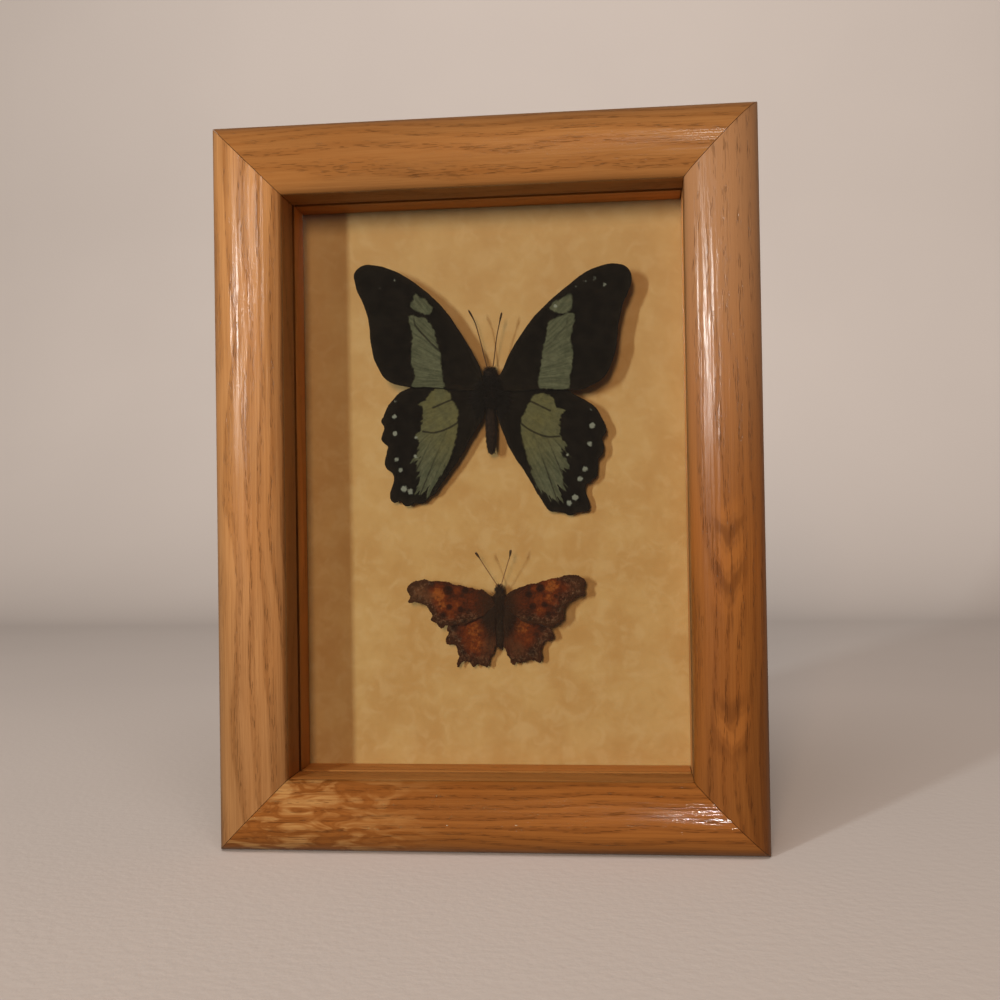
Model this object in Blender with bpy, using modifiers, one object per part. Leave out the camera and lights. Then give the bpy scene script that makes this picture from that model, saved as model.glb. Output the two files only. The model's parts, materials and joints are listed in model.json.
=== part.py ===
"""Framed butterfly specimen: two set butterflies in a glazed oak shadow box.

Metres, +Z up. The front of the frame faces -Y and the frame stands on z = 0, with the
origin in the middle of the bottom rail's underside.
"""

import math

import bmesh
import bpy
from mathutils import Matrix, Vector

MM = 0.001
GAP = 0.3 * MM  # clearance between neighbouring pieces

# Frame moulding
FRAME_WIDTH = 154 * MM
FRAME_HEIGHT = 206 * MM
FRAME_DEPTH = 38 * MM
RAIL_WIDTH = 20.5 * MM
LIP_OVERLAP = 8 * MM  # how far the lip reaches over the glass
CREST_ACROSS = 9 * MM  # from the outer side to the crest of the rounding
OUTER_SHOULDER = 7.5 * MM  # depth of the rounding on the outer side
INNER_SHOULDER = 4.5 * MM  # depth of the rounding on the inner side
LIP_DEPTH = 11.5 * MM  # flat inner wall of the lip, in front of the glass
ROUNDING_STEPS = 12

# What the frame holds, front to back
GLASS_WIDTH = 127 * MM
GLASS_HEIGHT = 178 * MM
GLASS_THICKNESS = 2 * MM
SPACER_WIDTH = 7.5 * MM
SPACER_DEPTH = 9.6 * MM
PAPER_THICKNESS = 0.3 * MM
BOARD_THICKNESS = 3 * MM

# Planes across the box
FRONT_Y = -FRAME_DEPTH / 2
BACK_Y = FRAME_DEPTH / 2
SEAT_Y = FRONT_Y + INNER_SHOULDER + LIP_DEPTH
GLASS_Y = SEAT_Y + GAP
SPACER_Y = GLASS_Y + GLASS_THICKNESS + GAP
PAPER_Y = SPACER_Y + SPACER_DEPTH + GAP
BOARD_Y = PAPER_Y + PAPER_THICKNESS + GAP
POINT_Y = BOARD_Y + BOARD_THICKNESS + GAP
WALL_WIDTH = RAIL_WIDTH - LIP_OVERLAP  # of the rail behind the lip
SIGHT_WIDTH = FRAME_WIDTH - 2 * RAIL_WIDTH
SIGHT_HEIGHT = FRAME_HEIGHT - 2 * RAIL_WIDTH
REBATE_HEIGHT = FRAME_HEIGHT - 2 * WALL_WIDTH

# Glazier's points
POINT_WIDTH = 6 * MM
POINT_LENGTH = 14 * MM
POINT_BITE = 5 * MM  # length driven into the rail
POINT_TIP = 3 * MM
POINT_THICKNESS = 0.5 * MM
POINT_SPREAD = 55 * MM  # of the side rails' points from mid height

# Sawtooth hanger
HANGER_LENGTH = 44 * MM
HANGER_HEIGHT = 9 * MM
HANGER_THICKNESS = 0.8 * MM
HANGER_CROWN = 1.8 * MM  # how far its middle stands off the rail
CROWN_FLAT = 11.5 * MM  # half length of the raised middle
CROWN_FOOT = 14 * MM  # half length at the foot of the bends
TEETH = 8
TOOTH_PITCH = 2.6 * MM
TOOTH_DEPTH = 1.3 * MM
NAIL_OFFSET = 18 * MM
NAIL_HOLE_RADIUS = 0.95 * MM
NAIL_SHANK_RADIUS = 0.6 * MM
NAIL_HEAD_RADIUS = 1.7 * MM
NAIL_HEAD_DEPTH = 0.7 * MM
NAIL_LENGTH = 9 * MM
HANGER_Y = BACK_Y + GAP
HANGER_Z = FRAME_HEIGHT - WALL_WIDTH / 2

# Insects: places on the paper, heights over it, wing angles in degrees
WING_THICKNESS = 0.3 * MM
ANTENNA_RADIUS = 0.15 * MM
CLUB_START = 0.75  # of the way from an antenna's middle to its tip
SWALLOWTAIL_X = 0.2 * MM
SWALLOWTAIL_Z = 129.3 * MM
SWALLOWTAIL_BODY_HEIGHT = 4.2 * MM
SWALLOWTAIL_FOREWING_HEIGHT = 6.3 * MM
SWALLOWTAIL_FOREWING_RISE = 2
SWALLOWTAIL_HINDWING_HEIGHT = 5.1 * MM
SWALLOWTAIL_HINDWING_PITCH = 3.5
SWALLOWTAIL_CLUB = 1.8  # thickness of the club over that of the antenna
COMMA_X = 1.8 * MM
COMMA_Z = 65.5 * MM
COMMA_BODY_HEIGHT = 3.2 * MM
COMMA_FOREWING_HEIGHT = 4.9 * MM
COMMA_HINDWING_HEIGHT = 3.9 * MM
COMMA_HINDWING_PITCH = 4
COMMA_CLUB = 2.8
SWALLOWTAIL_GLUE_RADIUS = 2.2 * MM
SWALLOWTAIL_GLUE_TOP = 1.1 * MM
COMMA_GLUE_RADIUS = 1.6 * MM
COMMA_GLUE_TOP = 0.8 * MM
GLUE_STRETCH = 1.3  # of a dab along the body

# Fineness of round shapes
HOLE_SEGMENTS = 16
STRIP_END_STEPS = 8
NAIL_SEGMENTS = 12
BODY_SEGMENTS = 14
MERGE_DISTANCE = 0.01 * MM

COLOURS = {  # base colour, roughness, metallic
    "oak": ((0.42, 0.21, 0.08), 0.35, 0.0),
    "glass": ((0.9, 0.95, 0.93), 0.02, 0.0),
    "backing_paper": ((0.62, 0.44, 0.24), 0.8, 0.0),
    "hardboard": ((0.23, 0.14, 0.08), 0.85, 0.0),
    "steel": ((0.55, 0.55, 0.53), 0.35, 1.0),
    "swallowtail_wing": ((0.03, 0.026, 0.02), 0.7, 0.0),
    "comma_wing": ((0.3, 0.11, 0.04), 0.7, 0.0),
    "insect_body": ((0.05, 0.035, 0.025), 0.8, 0.0),
    "glue": ((0.6, 0.5, 0.33), 0.3, 0.0),
}

# Wing outlines in millimetres from the middle of the thorax, x to the right, y to the head
SWALLOWTAIL_WINGS = {
    "swallowtail_forewing_left": [
        (-2.4, 3.0), (-5, 12), (-11.5, 23), (-19.5, 31.5), (-28.5, 37), (-36.5, 38.5),
        (-39.5, 35.5), (-38, 29), (-35, 20), (-34, 11), (-30, 4.5), (-23, 2.7), (-13, 2), (-3, 0),
    ],
    "swallowtail_forewing_right": [
        (2.4, 3.0), (6, 11.5), (13, 22), (23, 30.5), (32, 36), (39.5, 36),
        (42, 32), (39, 24), (37.5, 14), (34, 4), (29, 0.5), (23, 0.5), (13, 1), (3, 0),
    ],
    "swallowtail_hindwing_left": [
        (-3.3, 0), (-10, 4), (-20, 4), (-28, 0), (-32, -6), (-31.5, -9), (-32.5, -12),
        (-31, -15), (-32, -19.5), (-29.5, -23), (-30.5, -29.5), (-25, -32), (-18.5, -29.5),
        (-10, -19.5), (-4.5, -10), (-2.6, -6.5),
    ],
    "swallowtail_hindwing_right": [
        (3.3, 0), (10, 3.5), (20, 3), (28, -2.5), (33, -9), (32.5, -13.5), (33, -17),
        (31, -20), (30.5, -25), (27.5, -27), (28.5, -34), (22, -36), (16, -34),
        (9, -21.5), (3.5, -10.5), (2.6, -6.5),
    ],
}
COMMA_WINGS = {
    "comma_forewing_left": [
        (-1.9, 4.2), (-6.7, 6.9), (-16.5, 9), (-24.5, 9.5), (-27, 7.5), (-26, 3.8),
        (-22, 2.3), (-19.5, 0), (-20, -3), (-17, -4), (-10, -2.5), (-2.4, 0.5),
    ],
    "comma_forewing_right": [
        (1.9, 4.2), (8.5, 7.9), (14, 9.5), (22, 10.7), (25.5, 9), (24.5, 5),
        (20.5, 3), (19, -1.5), (16, -3.5), (10, -2.5), (2.4, 0.5),
    ],
    "comma_hindwing_left": [
        (-2.6, 0.3), (-9, 0.5), (-15, -3.5), (-16, -9), (-13, -10.5), (-12.3, -16),
        (-9.5, -14), (-8, -16.2), (-6, -14.8), (-3.5, -15.5), (-2, -10), (-1.9, -5),
    ],
    "comma_hindwing_right": [
        (2.6, 0.3), (9, 0.5), (14, -3.5), (15.5, -7), (12, -9.5), (12, -14.5),
        (8, -13.8), (4, -15.2), (2.5, -13.5), (2, -9), (1.9, -5),
    ],
}
# Bodies as turned profiles: radius and distance towards the head, millimetres, head to tail
SWALLOWTAIL_PROFILE = [
    (0, 7.8), (1.1, 7.5), (1.6, 6.4), (1.2, 5.3), (2.2, 4.3), (2.8, 2.2), (2.8, -0.5),
    (2.2, -3), (1.5, -4.2), (1.6, -7), (1.6, -11), (1.4, -14.5), (0.8, -17), (0, -17.7),
]
COMMA_PROFILE = [
    (0, 8.2), (0.5, 7.9), (1.2, 6.8), (1.1, 5.6), (1.8, 4.6), (2.1, 2.5), (2.0, 0.2),
    (1.4, -1.6), (1.2, -3), (1.3, -5), (1.1, -8), (0.6, -10), (0, -10.6),
]
# Antennae: root, middle and tip as x, distance towards the head, height over the paper
SWALLOWTAIL_ANTENNAE = {
    "swallowtail_antenna_left": [(-1.0, 8.3, 5.0), (-2.9, 17, 6.5), (-5.8, 24.6, 7.5)],
    "swallowtail_antenna_right": [(1.0, 8.3, 5.0), (2.2, 16, 6.5), (4.0, 23.6, 7.5)],
}
COMMA_ANTENNAE = {
    "comma_antenna_left": [(-0.8, 8.3, 4.5), (-3.6, 13.2, 6.5), (-6.4, 17.9, 8.0)],
    "comma_antenna_right": [(0.8, 8.3, 4.5), (2.6, 13.6, 6.5), (4.0, 18.5, 8.0)],
}


def clear_scene():
    for obj in list(bpy.data.objects):
        bpy.data.objects.remove(obj)


def new_collection(name, hidden=False):
    made = bpy.data.collections.new(name)
    bpy.context.scene.collection.children.link(made)
    made.hide_render = hidden
    return made


def material(slot):
    made = bpy.data.materials.get(slot)
    if made:
        return made
    colour, roughness, metallic = COLOURS[slot]
    made = bpy.data.materials.new(slot)
    made.use_nodes = True
    shader = made.node_tree.nodes["Principled BSDF"]
    shader.inputs["Base Color"].default_value = (*colour, 1)
    shader.inputs["Roughness"].default_value = roughness
    shader.inputs["Metallic"].default_value = metallic
    return made


def add_object(name, mesh, slot, collection):
    obj = bpy.data.objects.new(name, mesh)
    collection.objects.link(obj)
    if slot:
        mesh.materials.append(material(slot))
    return obj


def shade_smooth(mesh, sharp_angle=math.radians(35)):
    mesh.shade_smooth()
    mesh.set_sharp_from_angle(angle=sharp_angle)


def box(name, low, high, slot, collection):
    """A box between two corners."""
    low, high = Vector(low), Vector(high)
    place = Matrix.Translation((low + high) / 2) @ Matrix.Diagonal((*(high - low), 1))
    shape = bmesh.new()
    bmesh.ops.create_cube(shape, size=1, matrix=place)
    mesh = bpy.data.meshes.new(name)
    shape.to_mesh(mesh)
    shape.free()
    return add_object(name, mesh, slot, collection)


def outline_mesh(name, outlines, thickness, rounded=False):
    """A flat piece cut to the first outline, with any others as holes, centred on its plane."""
    curve = bpy.data.curves.new(name, "CURVE")
    curve.dimensions = "2D"
    curve.fill_mode = "BOTH"
    curve.extrude = thickness / 2
    curve.resolution_u = 3
    for points in outlines:
        if rounded:
            spline = curve.splines.new("BEZIER")
            spline.bezier_points.add(len(points) - 1)
            for point, place in zip(spline.bezier_points, points):
                point.co = (*place, 0)
                point.handle_left_type = point.handle_right_type = "AUTO"
        else:
            spline = curve.splines.new("POLY")
            spline.points.add(len(points) - 1)
            for point, place in zip(spline.points, points):
                point.co = (*place, 0, 1)
        spline.use_cyclic_u = True
    drawn = bpy.data.objects.new(name, curve)
    bpy.context.scene.collection.objects.link(drawn)
    graph = bpy.context.evaluated_depsgraph_get()
    mesh = bpy.data.meshes.new_from_object(drawn.evaluated_get(graph))
    bpy.data.objects.remove(drawn)
    shape = bmesh.new()
    shape.from_mesh(mesh)
    bmesh.ops.remove_doubles(shape, verts=shape.verts, dist=0.001 * MM)
    bmesh.ops.recalc_face_normals(shape, faces=shape.faces)
    shape.to_mesh(mesh)
    shape.free()
    mesh.materials.clear()
    mesh.name = name
    return mesh


def cut(obj, cutter):
    """Takes the cutter's shape out of the object."""
    boolean = obj.modifiers.new(f"cut_{cutter.name}", "BOOLEAN")
    boolean.operation = "DIFFERENCE"
    boolean.object = cutter
    cutter.hide_render = True
    cutter.display_type = "WIRE"


def quarter_ellipse(centre, width, depth, start, end):
    """Points of an ellipse's arc about the centre, with its angles in quarter turns."""
    points = []
    for step in range(ROUNDING_STEPS + 1):
        angle = math.pi / 2 * (start + (end - start) * step / ROUNDING_STEPS)
        x = centre[0] + width * math.cos(angle)
        y = centre[1] - depth * math.sin(angle)
        points.append((x, y))
    return points


def moulding_profile():
    """The rail's section: x from its outer side inwards, y from the front backwards."""
    crest = CREST_ACROSS
    seat = INNER_SHOULDER + LIP_DEPTH
    outer = quarter_ellipse((crest, OUTER_SHOULDER), crest, OUTER_SHOULDER, 2, 1)
    inner = quarter_ellipse((crest, INNER_SHOULDER), RAIL_WIDTH - crest, INNER_SHOULDER, 1, 0)
    rebate = [(RAIL_WIDTH, seat), (WALL_WIDTH, seat), (WALL_WIDTH, FRAME_DEPTH), (0, FRAME_DEPTH)]
    return outer + inner[1:] + rebate


def rail(name, length, turn, collection):
    """A rail of the given outer length with mitred ends, turned about the frame's middle."""
    mesh = outline_mesh(name, [moulding_profile()], length)
    joint = GAP / math.sqrt(2)
    for vertex in mesh.vertices:
        end = math.copysign(1, vertex.co.z)
        vertex.co.z = end * (length / 2 - vertex.co.x - joint)
    shade_smooth(mesh)
    obj = add_object(name, mesh, "oak", collection)
    across = FRAME_WIDTH if length == FRAME_HEIGHT else FRAME_HEIGHT
    obj.matrix_world = (
        Matrix.Translation((0, 0, FRAME_HEIGHT / 2))
        @ Matrix.Rotation(turn, 4, "Y")
        @ Matrix.Translation((-across / 2, FRONT_Y, 0))
    )
    return obj


def frame_rails(collection):
    quarter = math.pi / 2
    return {
        "left": rail("rail_left", FRAME_HEIGHT, 0, collection),
        "top": rail("rail_top", FRAME_WIDTH, quarter, collection),
        "right": rail("rail_right", FRAME_HEIGHT, 2 * quarter, collection),
        "bottom": rail("rail_bottom", FRAME_WIDTH, -quarter, collection),
    }


def sheet(name, front, thickness, slot, collection):
    """A sheet of the glass's size, in the middle of the frame."""
    middle = FRAME_HEIGHT / 2
    low = (-GLASS_WIDTH / 2, front, middle - GLASS_HEIGHT / 2)
    high = (GLASS_WIDTH / 2, front + thickness, middle + GLASS_HEIGHT / 2)
    return box(name, low, high, slot, collection)


def spacers(collection):
    """Four oak fillets behind the glass: the side ones run full height, the others between them."""
    middle = FRAME_HEIGHT / 2
    inner_x = SIGHT_WIDTH / 2
    inner_z = SIGHT_HEIGHT / 2
    end_z = REBATE_HEIGHT / 2 - GAP
    back = SPACER_Y + SPACER_DEPTH
    for name, side in (("left", -1), ("right", 1)):
        x = sorted((side * inner_x, side * (inner_x + SPACER_WIDTH)))
        low = (x[0], SPACER_Y, middle - end_z)
        high = (x[1], back, middle + end_z)
        box(f"spacer_{name}", low, high, "oak", collection)
    for name, side in (("bottom", -1), ("top", 1)):
        z = sorted((middle + side * inner_z, middle + side * (inner_z + SPACER_WIDTH)))
        low = (-inner_x + GAP, SPACER_Y, z[0])
        high = (inner_x - GAP, back, z[1])
        box(f"spacer_{name}", low, high, "oak", collection)


def glazing_points(rails, collection, cutters):
    """Flat steel points driven into the rails behind the board, each in its own slot."""
    half = POINT_WIDTH / 2
    bite = -POINT_BITE
    shape = [
        (bite, 0), (bite + POINT_TIP, -half), (POINT_LENGTH - POINT_BITE, -half),
        (POINT_LENGTH - POINT_BITE, half), (bite + POINT_TIP, half),
    ]
    mesh = outline_mesh("glazing_point", [shape], POINT_THICKNESS)
    mesh.materials.append(material("steel"))
    quarter = math.pi / 2
    places = [
        ("top", "top", quarter, 0), ("bottom", "bottom", -quarter, 0),
        ("left_upper", "left", 0, POINT_SPREAD), ("left_lower", "left", 0, -POINT_SPREAD),
        ("right_upper", "right", 2 * quarter, -POINT_SPREAD),
        ("right_lower", "right", 2 * quarter, POINT_SPREAD),
    ]
    for name, side, turn, along in places:
        across = FRAME_WIDTH if side in ("left", "right") else FRAME_HEIGHT
        wall = -across / 2 + WALL_WIDTH
        place = (
            Matrix.Translation((0, 0, FRAME_HEIGHT / 2))
            @ Matrix.Rotation(turn, 4, "Y")
            @ Matrix.Translation((wall, POINT_Y + POINT_THICKNESS / 2, along))
            @ Matrix.Rotation(quarter, 4, "X")
        )
        point = bpy.data.objects.new(f"glazing_point_{name}", mesh)
        collection.objects.link(point)
        point.matrix_world = place
        slot_half = half + GAP
        slot_depth = POINT_THICKNESS / 2 + GAP
        slot_low = (bite - GAP, -slot_half, -slot_depth)
        slot_high = (LIP_OVERLAP / 2, slot_half, slot_depth)
        slot = box(f"slot_{name}", slot_low, slot_high, None, cutters)
        slot.matrix_world = place
        cut(rails[side], slot)


def hanger_outline():
    """A strip with round ends and a row of teeth in its lower edge."""
    half = HANGER_HEIGHT / 2
    straight = HANGER_LENGTH / 2 - half
    points = []
    for side in (1, -1):
        for step in range(STRIP_END_STEPS + 1):
            angle = math.pi * (step / STRIP_END_STEPS - 0.5)
            x = side * (straight + half * math.cos(angle))
            points.append((x, side * half * math.sin(angle)))
    row = TEETH * TOOTH_PITCH
    for tooth in range(TEETH):
        left = -row / 2 + tooth * TOOTH_PITCH
        points += [(left, -half), (left + TOOTH_PITCH / 2, -half + TOOTH_DEPTH)]
    points.append((row / 2, -half))
    return points


def circle(centre_x, radius):
    turns = [2 * math.pi * step / HOLE_SEGMENTS for step in range(HOLE_SEGMENTS)]
    return [(centre_x + radius * math.cos(turn), radius * math.sin(turn)) for turn in turns]


def sawtooth_hanger(collection):
    """A strip of steel whose middle is crowned away from the rail, so that a nail fits behind it."""
    holes = [circle(side * NAIL_OFFSET, NAIL_HOLE_RADIUS) for side in (-1, 1)]
    mesh = outline_mesh("sawtooth_hanger", [hanger_outline(), *holes], HANGER_THICKNESS)
    shape = bmesh.new()
    shape.from_mesh(mesh)
    for bend in (-CROWN_FOOT, -CROWN_FLAT, CROWN_FLAT, CROWN_FOOT):
        everything = list(shape.verts) + list(shape.edges) + list(shape.faces)
        bmesh.ops.bisect_plane(shape, geom=everything, plane_co=(bend, 0, 0), plane_no=(1, 0, 0))
    for vertex in shape.verts:
        rise = (CROWN_FOOT - abs(vertex.co.x)) / (CROWN_FOOT - CROWN_FLAT)
        vertex.co.z += HANGER_CROWN * min(max(rise, 0), 1)
    shape.to_mesh(mesh)
    shape.free()
    hanger = add_object("sawtooth_hanger", mesh, "steel", collection)
    hanger.matrix_world = (
        Matrix.Translation((0, HANGER_Y + HANGER_THICKNESS / 2, HANGER_Z))
        @ Matrix.Rotation(math.pi, 4, "Z")
        @ Matrix.Rotation(math.pi / 2, 4, "X")
    )


def turned(name, profile, axis_place, slot, steps, collection):
    """A solid turned from radius and height pairs that run from the top down."""
    mesh = bpy.data.meshes.new(name)
    edges = [(step, step + 1) for step in range(len(profile) - 1)]
    mesh.from_pydata([(radius, 0, height) for radius, height in profile], edges, [])
    obj = add_object(name, mesh, slot, collection)
    obj.matrix_world = axis_place
    screw = obj.modifiers.new("turn", "SCREW")
    screw.steps = screw.render_steps = steps
    screw.use_merge_vertices = True
    screw.merge_threshold = MERGE_DISTANCE
    screw.use_smooth_shade = True
    return obj


def hanger_nails(top_rail, collection, cutters):
    """Two round nails through the hanger, in holes in the top rail."""
    head_y = HANGER_Y + HANGER_THICKNESS + GAP
    profile = [
        (0, NAIL_HEAD_DEPTH), (NAIL_HEAD_RADIUS * 0.7, NAIL_HEAD_DEPTH),
        (NAIL_HEAD_RADIUS, NAIL_HEAD_DEPTH / 2), (NAIL_HEAD_RADIUS, 0),
        (NAIL_SHANK_RADIUS, 0), (NAIL_SHANK_RADIUS, -NAIL_LENGTH), (0, -NAIL_LENGTH - MM),
    ]
    for name, side in (("left", -1), ("right", 1)):
        place = Matrix.Translation((side * NAIL_OFFSET, head_y, HANGER_Z))
        place @= Matrix.Rotation(-math.pi / 2, 4, "X")
        turned(f"hanger_nail_{name}", profile, place, "steel", NAIL_SEGMENTS, collection)
        depth = NAIL_LENGTH + 2 * MM
        hole_profile = [(0, depth), (NAIL_HOLE_RADIUS, depth), (NAIL_HOLE_RADIUS, -depth), (0, -depth)]
        hole = turned(f"nail_hole_{name}", hole_profile, place, None, NAIL_SEGMENTS, cutters)
        cut(top_rail, hole)


def butterfly_place(name, x, z, collection):
    """An empty on the paper: its X runs right, its Y to the insect's head, its Z off the paper."""
    place = bpy.data.objects.new(name, None)
    collection.objects.link(place)
    place.location = (x, PAPER_Y, z)
    place.rotation_euler = (math.pi / 2, 0, 0)
    return place


def wing(name, outline, height, pitch, rise, place, slot, collection):
    """A thin wing, pitched down to its tail and rising outwards, in degrees."""
    points = [(x * MM, y * MM) for x, y in outline]
    mesh = outline_mesh(name, [points], WING_THICKNESS, rounded=True)
    obj = add_object(name, mesh, slot, collection)
    obj.parent = place
    obj.location = (0, 0, height)
    side = -1 if name.endswith("left") else 1
    obj.rotation_euler = (math.radians(pitch), math.radians(-side * rise), 0)


def insect_body(name, profile, height, place, collection):
    """A body turned about its length, head first."""
    points = [(radius * MM, along * MM) for radius, along in profile]
    obj = turned(name, points, Matrix(), "insect_body", BODY_SEGMENTS, collection)
    obj.parent = place
    obj.location = (0, 0, height)
    obj.rotation_euler = (-math.pi / 2, 0, 0)


def antenna(name, route, club, place, collection):
    """A fine tapering tube through three points, ending in a club."""
    curve = bpy.data.curves.new(name, "CURVE")
    curve.dimensions = "3D"
    curve.bevel_depth = ANTENNA_RADIUS
    curve.bevel_resolution = 1
    curve.resolution_u = 4
    curve.use_fill_caps = True
    root, middle, tip = (Vector(point) * MM for point in route)
    neck = middle.lerp(tip, CLUB_START)
    places = [(root, 1), (middle, 1), (neck, 1.1), (tip, club)]
    spline = curve.splines.new("BEZIER")
    spline.bezier_points.add(len(places) - 1)
    for point, (where, radius) in zip(spline.bezier_points, places):
        point.co = where
        point.radius = radius
        point.handle_left_type = point.handle_right_type = "AUTO"
    curve.materials.append(material("insect_body"))
    obj = bpy.data.objects.new(name, curve)
    collection.objects.link(obj)
    obj.parent = place


def glue_dab(name, radius, top, place, collection):
    """A flattened bead of glue between the paper and the underside of the thorax."""
    shape = bmesh.new()
    flat = (top - GAP) / 2
    size = Matrix.Diagonal((radius, radius * GLUE_STRETCH, flat, 1))
    bmesh.ops.create_uvsphere(shape, u_segments=14, v_segments=8, radius=1, matrix=size)
    mesh = bpy.data.meshes.new(name)
    shape.to_mesh(mesh)
    shape.free()
    shade_smooth(mesh)
    obj = add_object(name, mesh, "glue", collection)
    obj.parent = place
    obj.location = (0, MM, GAP + flat)


def swallowtail(collection):
    """The large dark butterfly in the upper half of the box."""
    place = butterfly_place("swallowtail_place", SWALLOWTAIL_X, SWALLOWTAIL_Z, collection)
    for name, outline in SWALLOWTAIL_WINGS.items():
        if "forewing" in name:
            height, pitch, rise = SWALLOWTAIL_FOREWING_HEIGHT, 0, SWALLOWTAIL_FOREWING_RISE
        else:
            height, pitch, rise = SWALLOWTAIL_HINDWING_HEIGHT, SWALLOWTAIL_HINDWING_PITCH, 0
        wing(name, outline, height, pitch, rise, place, "swallowtail_wing", collection)
    insect_body("swallowtail_body", SWALLOWTAIL_PROFILE, SWALLOWTAIL_BODY_HEIGHT, place, collection)
    for name, route in SWALLOWTAIL_ANTENNAE.items():
        antenna(name, route, SWALLOWTAIL_CLUB, place, collection)
    glue_dab("swallowtail_glue", SWALLOWTAIL_GLUE_RADIUS, SWALLOWTAIL_GLUE_TOP, place, collection)


def comma(collection):
    """The small ragged-winged butterfly in the lower half of the box."""
    place = butterfly_place("comma_place", COMMA_X, COMMA_Z, collection)
    for name, outline in COMMA_WINGS.items():
        if "forewing" in name:
            height, pitch = COMMA_FOREWING_HEIGHT, 0
        else:
            height, pitch = COMMA_HINDWING_HEIGHT, COMMA_HINDWING_PITCH
        wing(name, outline, height, pitch, 0, place, "comma_wing", collection)
    insect_body("comma_body", COMMA_PROFILE, COMMA_BODY_HEIGHT, place, collection)
    for name, route in COMMA_ANTENNAE.items():
        antenna(name, route, COMMA_CLUB, place, collection)
    glue_dab("comma_glue", COMMA_GLUE_RADIUS, COMMA_GLUE_TOP, place, collection)


def main():
    clear_scene()
    parts = new_collection("framed_butterfly_specimen")
    cutters = new_collection("cutters", hidden=True)
    rails = frame_rails(parts)
    sheet("glass_pane", GLASS_Y, GLASS_THICKNESS, "glass", parts)
    spacers(parts)
    sheet("backing_paper", PAPER_Y, PAPER_THICKNESS, "backing_paper", parts)
    sheet("backing_board", BOARD_Y, BOARD_THICKNESS, "hardboard", parts)
    glazing_points(rails, parts, cutters)
    sawtooth_hanger(parts)
    hanger_nails(rails["top"], parts, cutters)
    swallowtail(parts)
    comma(parts)


main()
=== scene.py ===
"""Framed butterfly specimen: the looks of the oak frame, its glass and the two set butterflies.

Metres, +Z up. The frame's front faces -Y and it stands on the floor at z = 0. Shapes of the
insects are written in millimetres: x to the right, y towards the head, z away from the paper.
"""

import json
import math

import bpy
import numpy as np
from mathutils import Euler, Matrix, Vector, geometry

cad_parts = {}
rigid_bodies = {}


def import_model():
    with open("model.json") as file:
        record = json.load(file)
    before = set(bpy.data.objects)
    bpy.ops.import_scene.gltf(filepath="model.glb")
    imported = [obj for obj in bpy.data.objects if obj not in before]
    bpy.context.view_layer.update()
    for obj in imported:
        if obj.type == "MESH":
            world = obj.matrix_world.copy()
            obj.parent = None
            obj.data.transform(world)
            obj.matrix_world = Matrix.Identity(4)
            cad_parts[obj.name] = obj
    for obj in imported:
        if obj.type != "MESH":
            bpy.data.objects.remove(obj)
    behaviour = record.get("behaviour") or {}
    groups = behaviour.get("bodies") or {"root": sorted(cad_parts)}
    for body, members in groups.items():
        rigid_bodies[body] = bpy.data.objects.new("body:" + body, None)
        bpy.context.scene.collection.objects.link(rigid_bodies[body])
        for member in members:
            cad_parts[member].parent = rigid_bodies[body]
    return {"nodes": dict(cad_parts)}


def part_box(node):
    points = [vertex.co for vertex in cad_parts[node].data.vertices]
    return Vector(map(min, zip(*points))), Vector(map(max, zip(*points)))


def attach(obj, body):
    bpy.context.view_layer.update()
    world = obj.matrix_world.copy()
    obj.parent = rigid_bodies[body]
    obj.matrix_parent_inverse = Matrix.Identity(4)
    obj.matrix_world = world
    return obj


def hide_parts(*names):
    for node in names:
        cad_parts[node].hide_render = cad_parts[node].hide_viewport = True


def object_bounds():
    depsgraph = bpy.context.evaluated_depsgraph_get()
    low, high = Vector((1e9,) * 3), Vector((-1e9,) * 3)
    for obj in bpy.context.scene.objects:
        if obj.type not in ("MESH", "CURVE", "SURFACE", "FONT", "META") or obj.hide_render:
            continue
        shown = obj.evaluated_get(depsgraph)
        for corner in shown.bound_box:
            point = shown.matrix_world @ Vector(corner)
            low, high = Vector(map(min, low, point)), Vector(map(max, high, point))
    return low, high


MM = 0.001
CHEVRON_PITCH = 13.4  # millimetres between the figure's bands
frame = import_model()
nodes = frame["nodes"]
cad_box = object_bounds()


# ---------------------------------------------------------------- node trees


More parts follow.
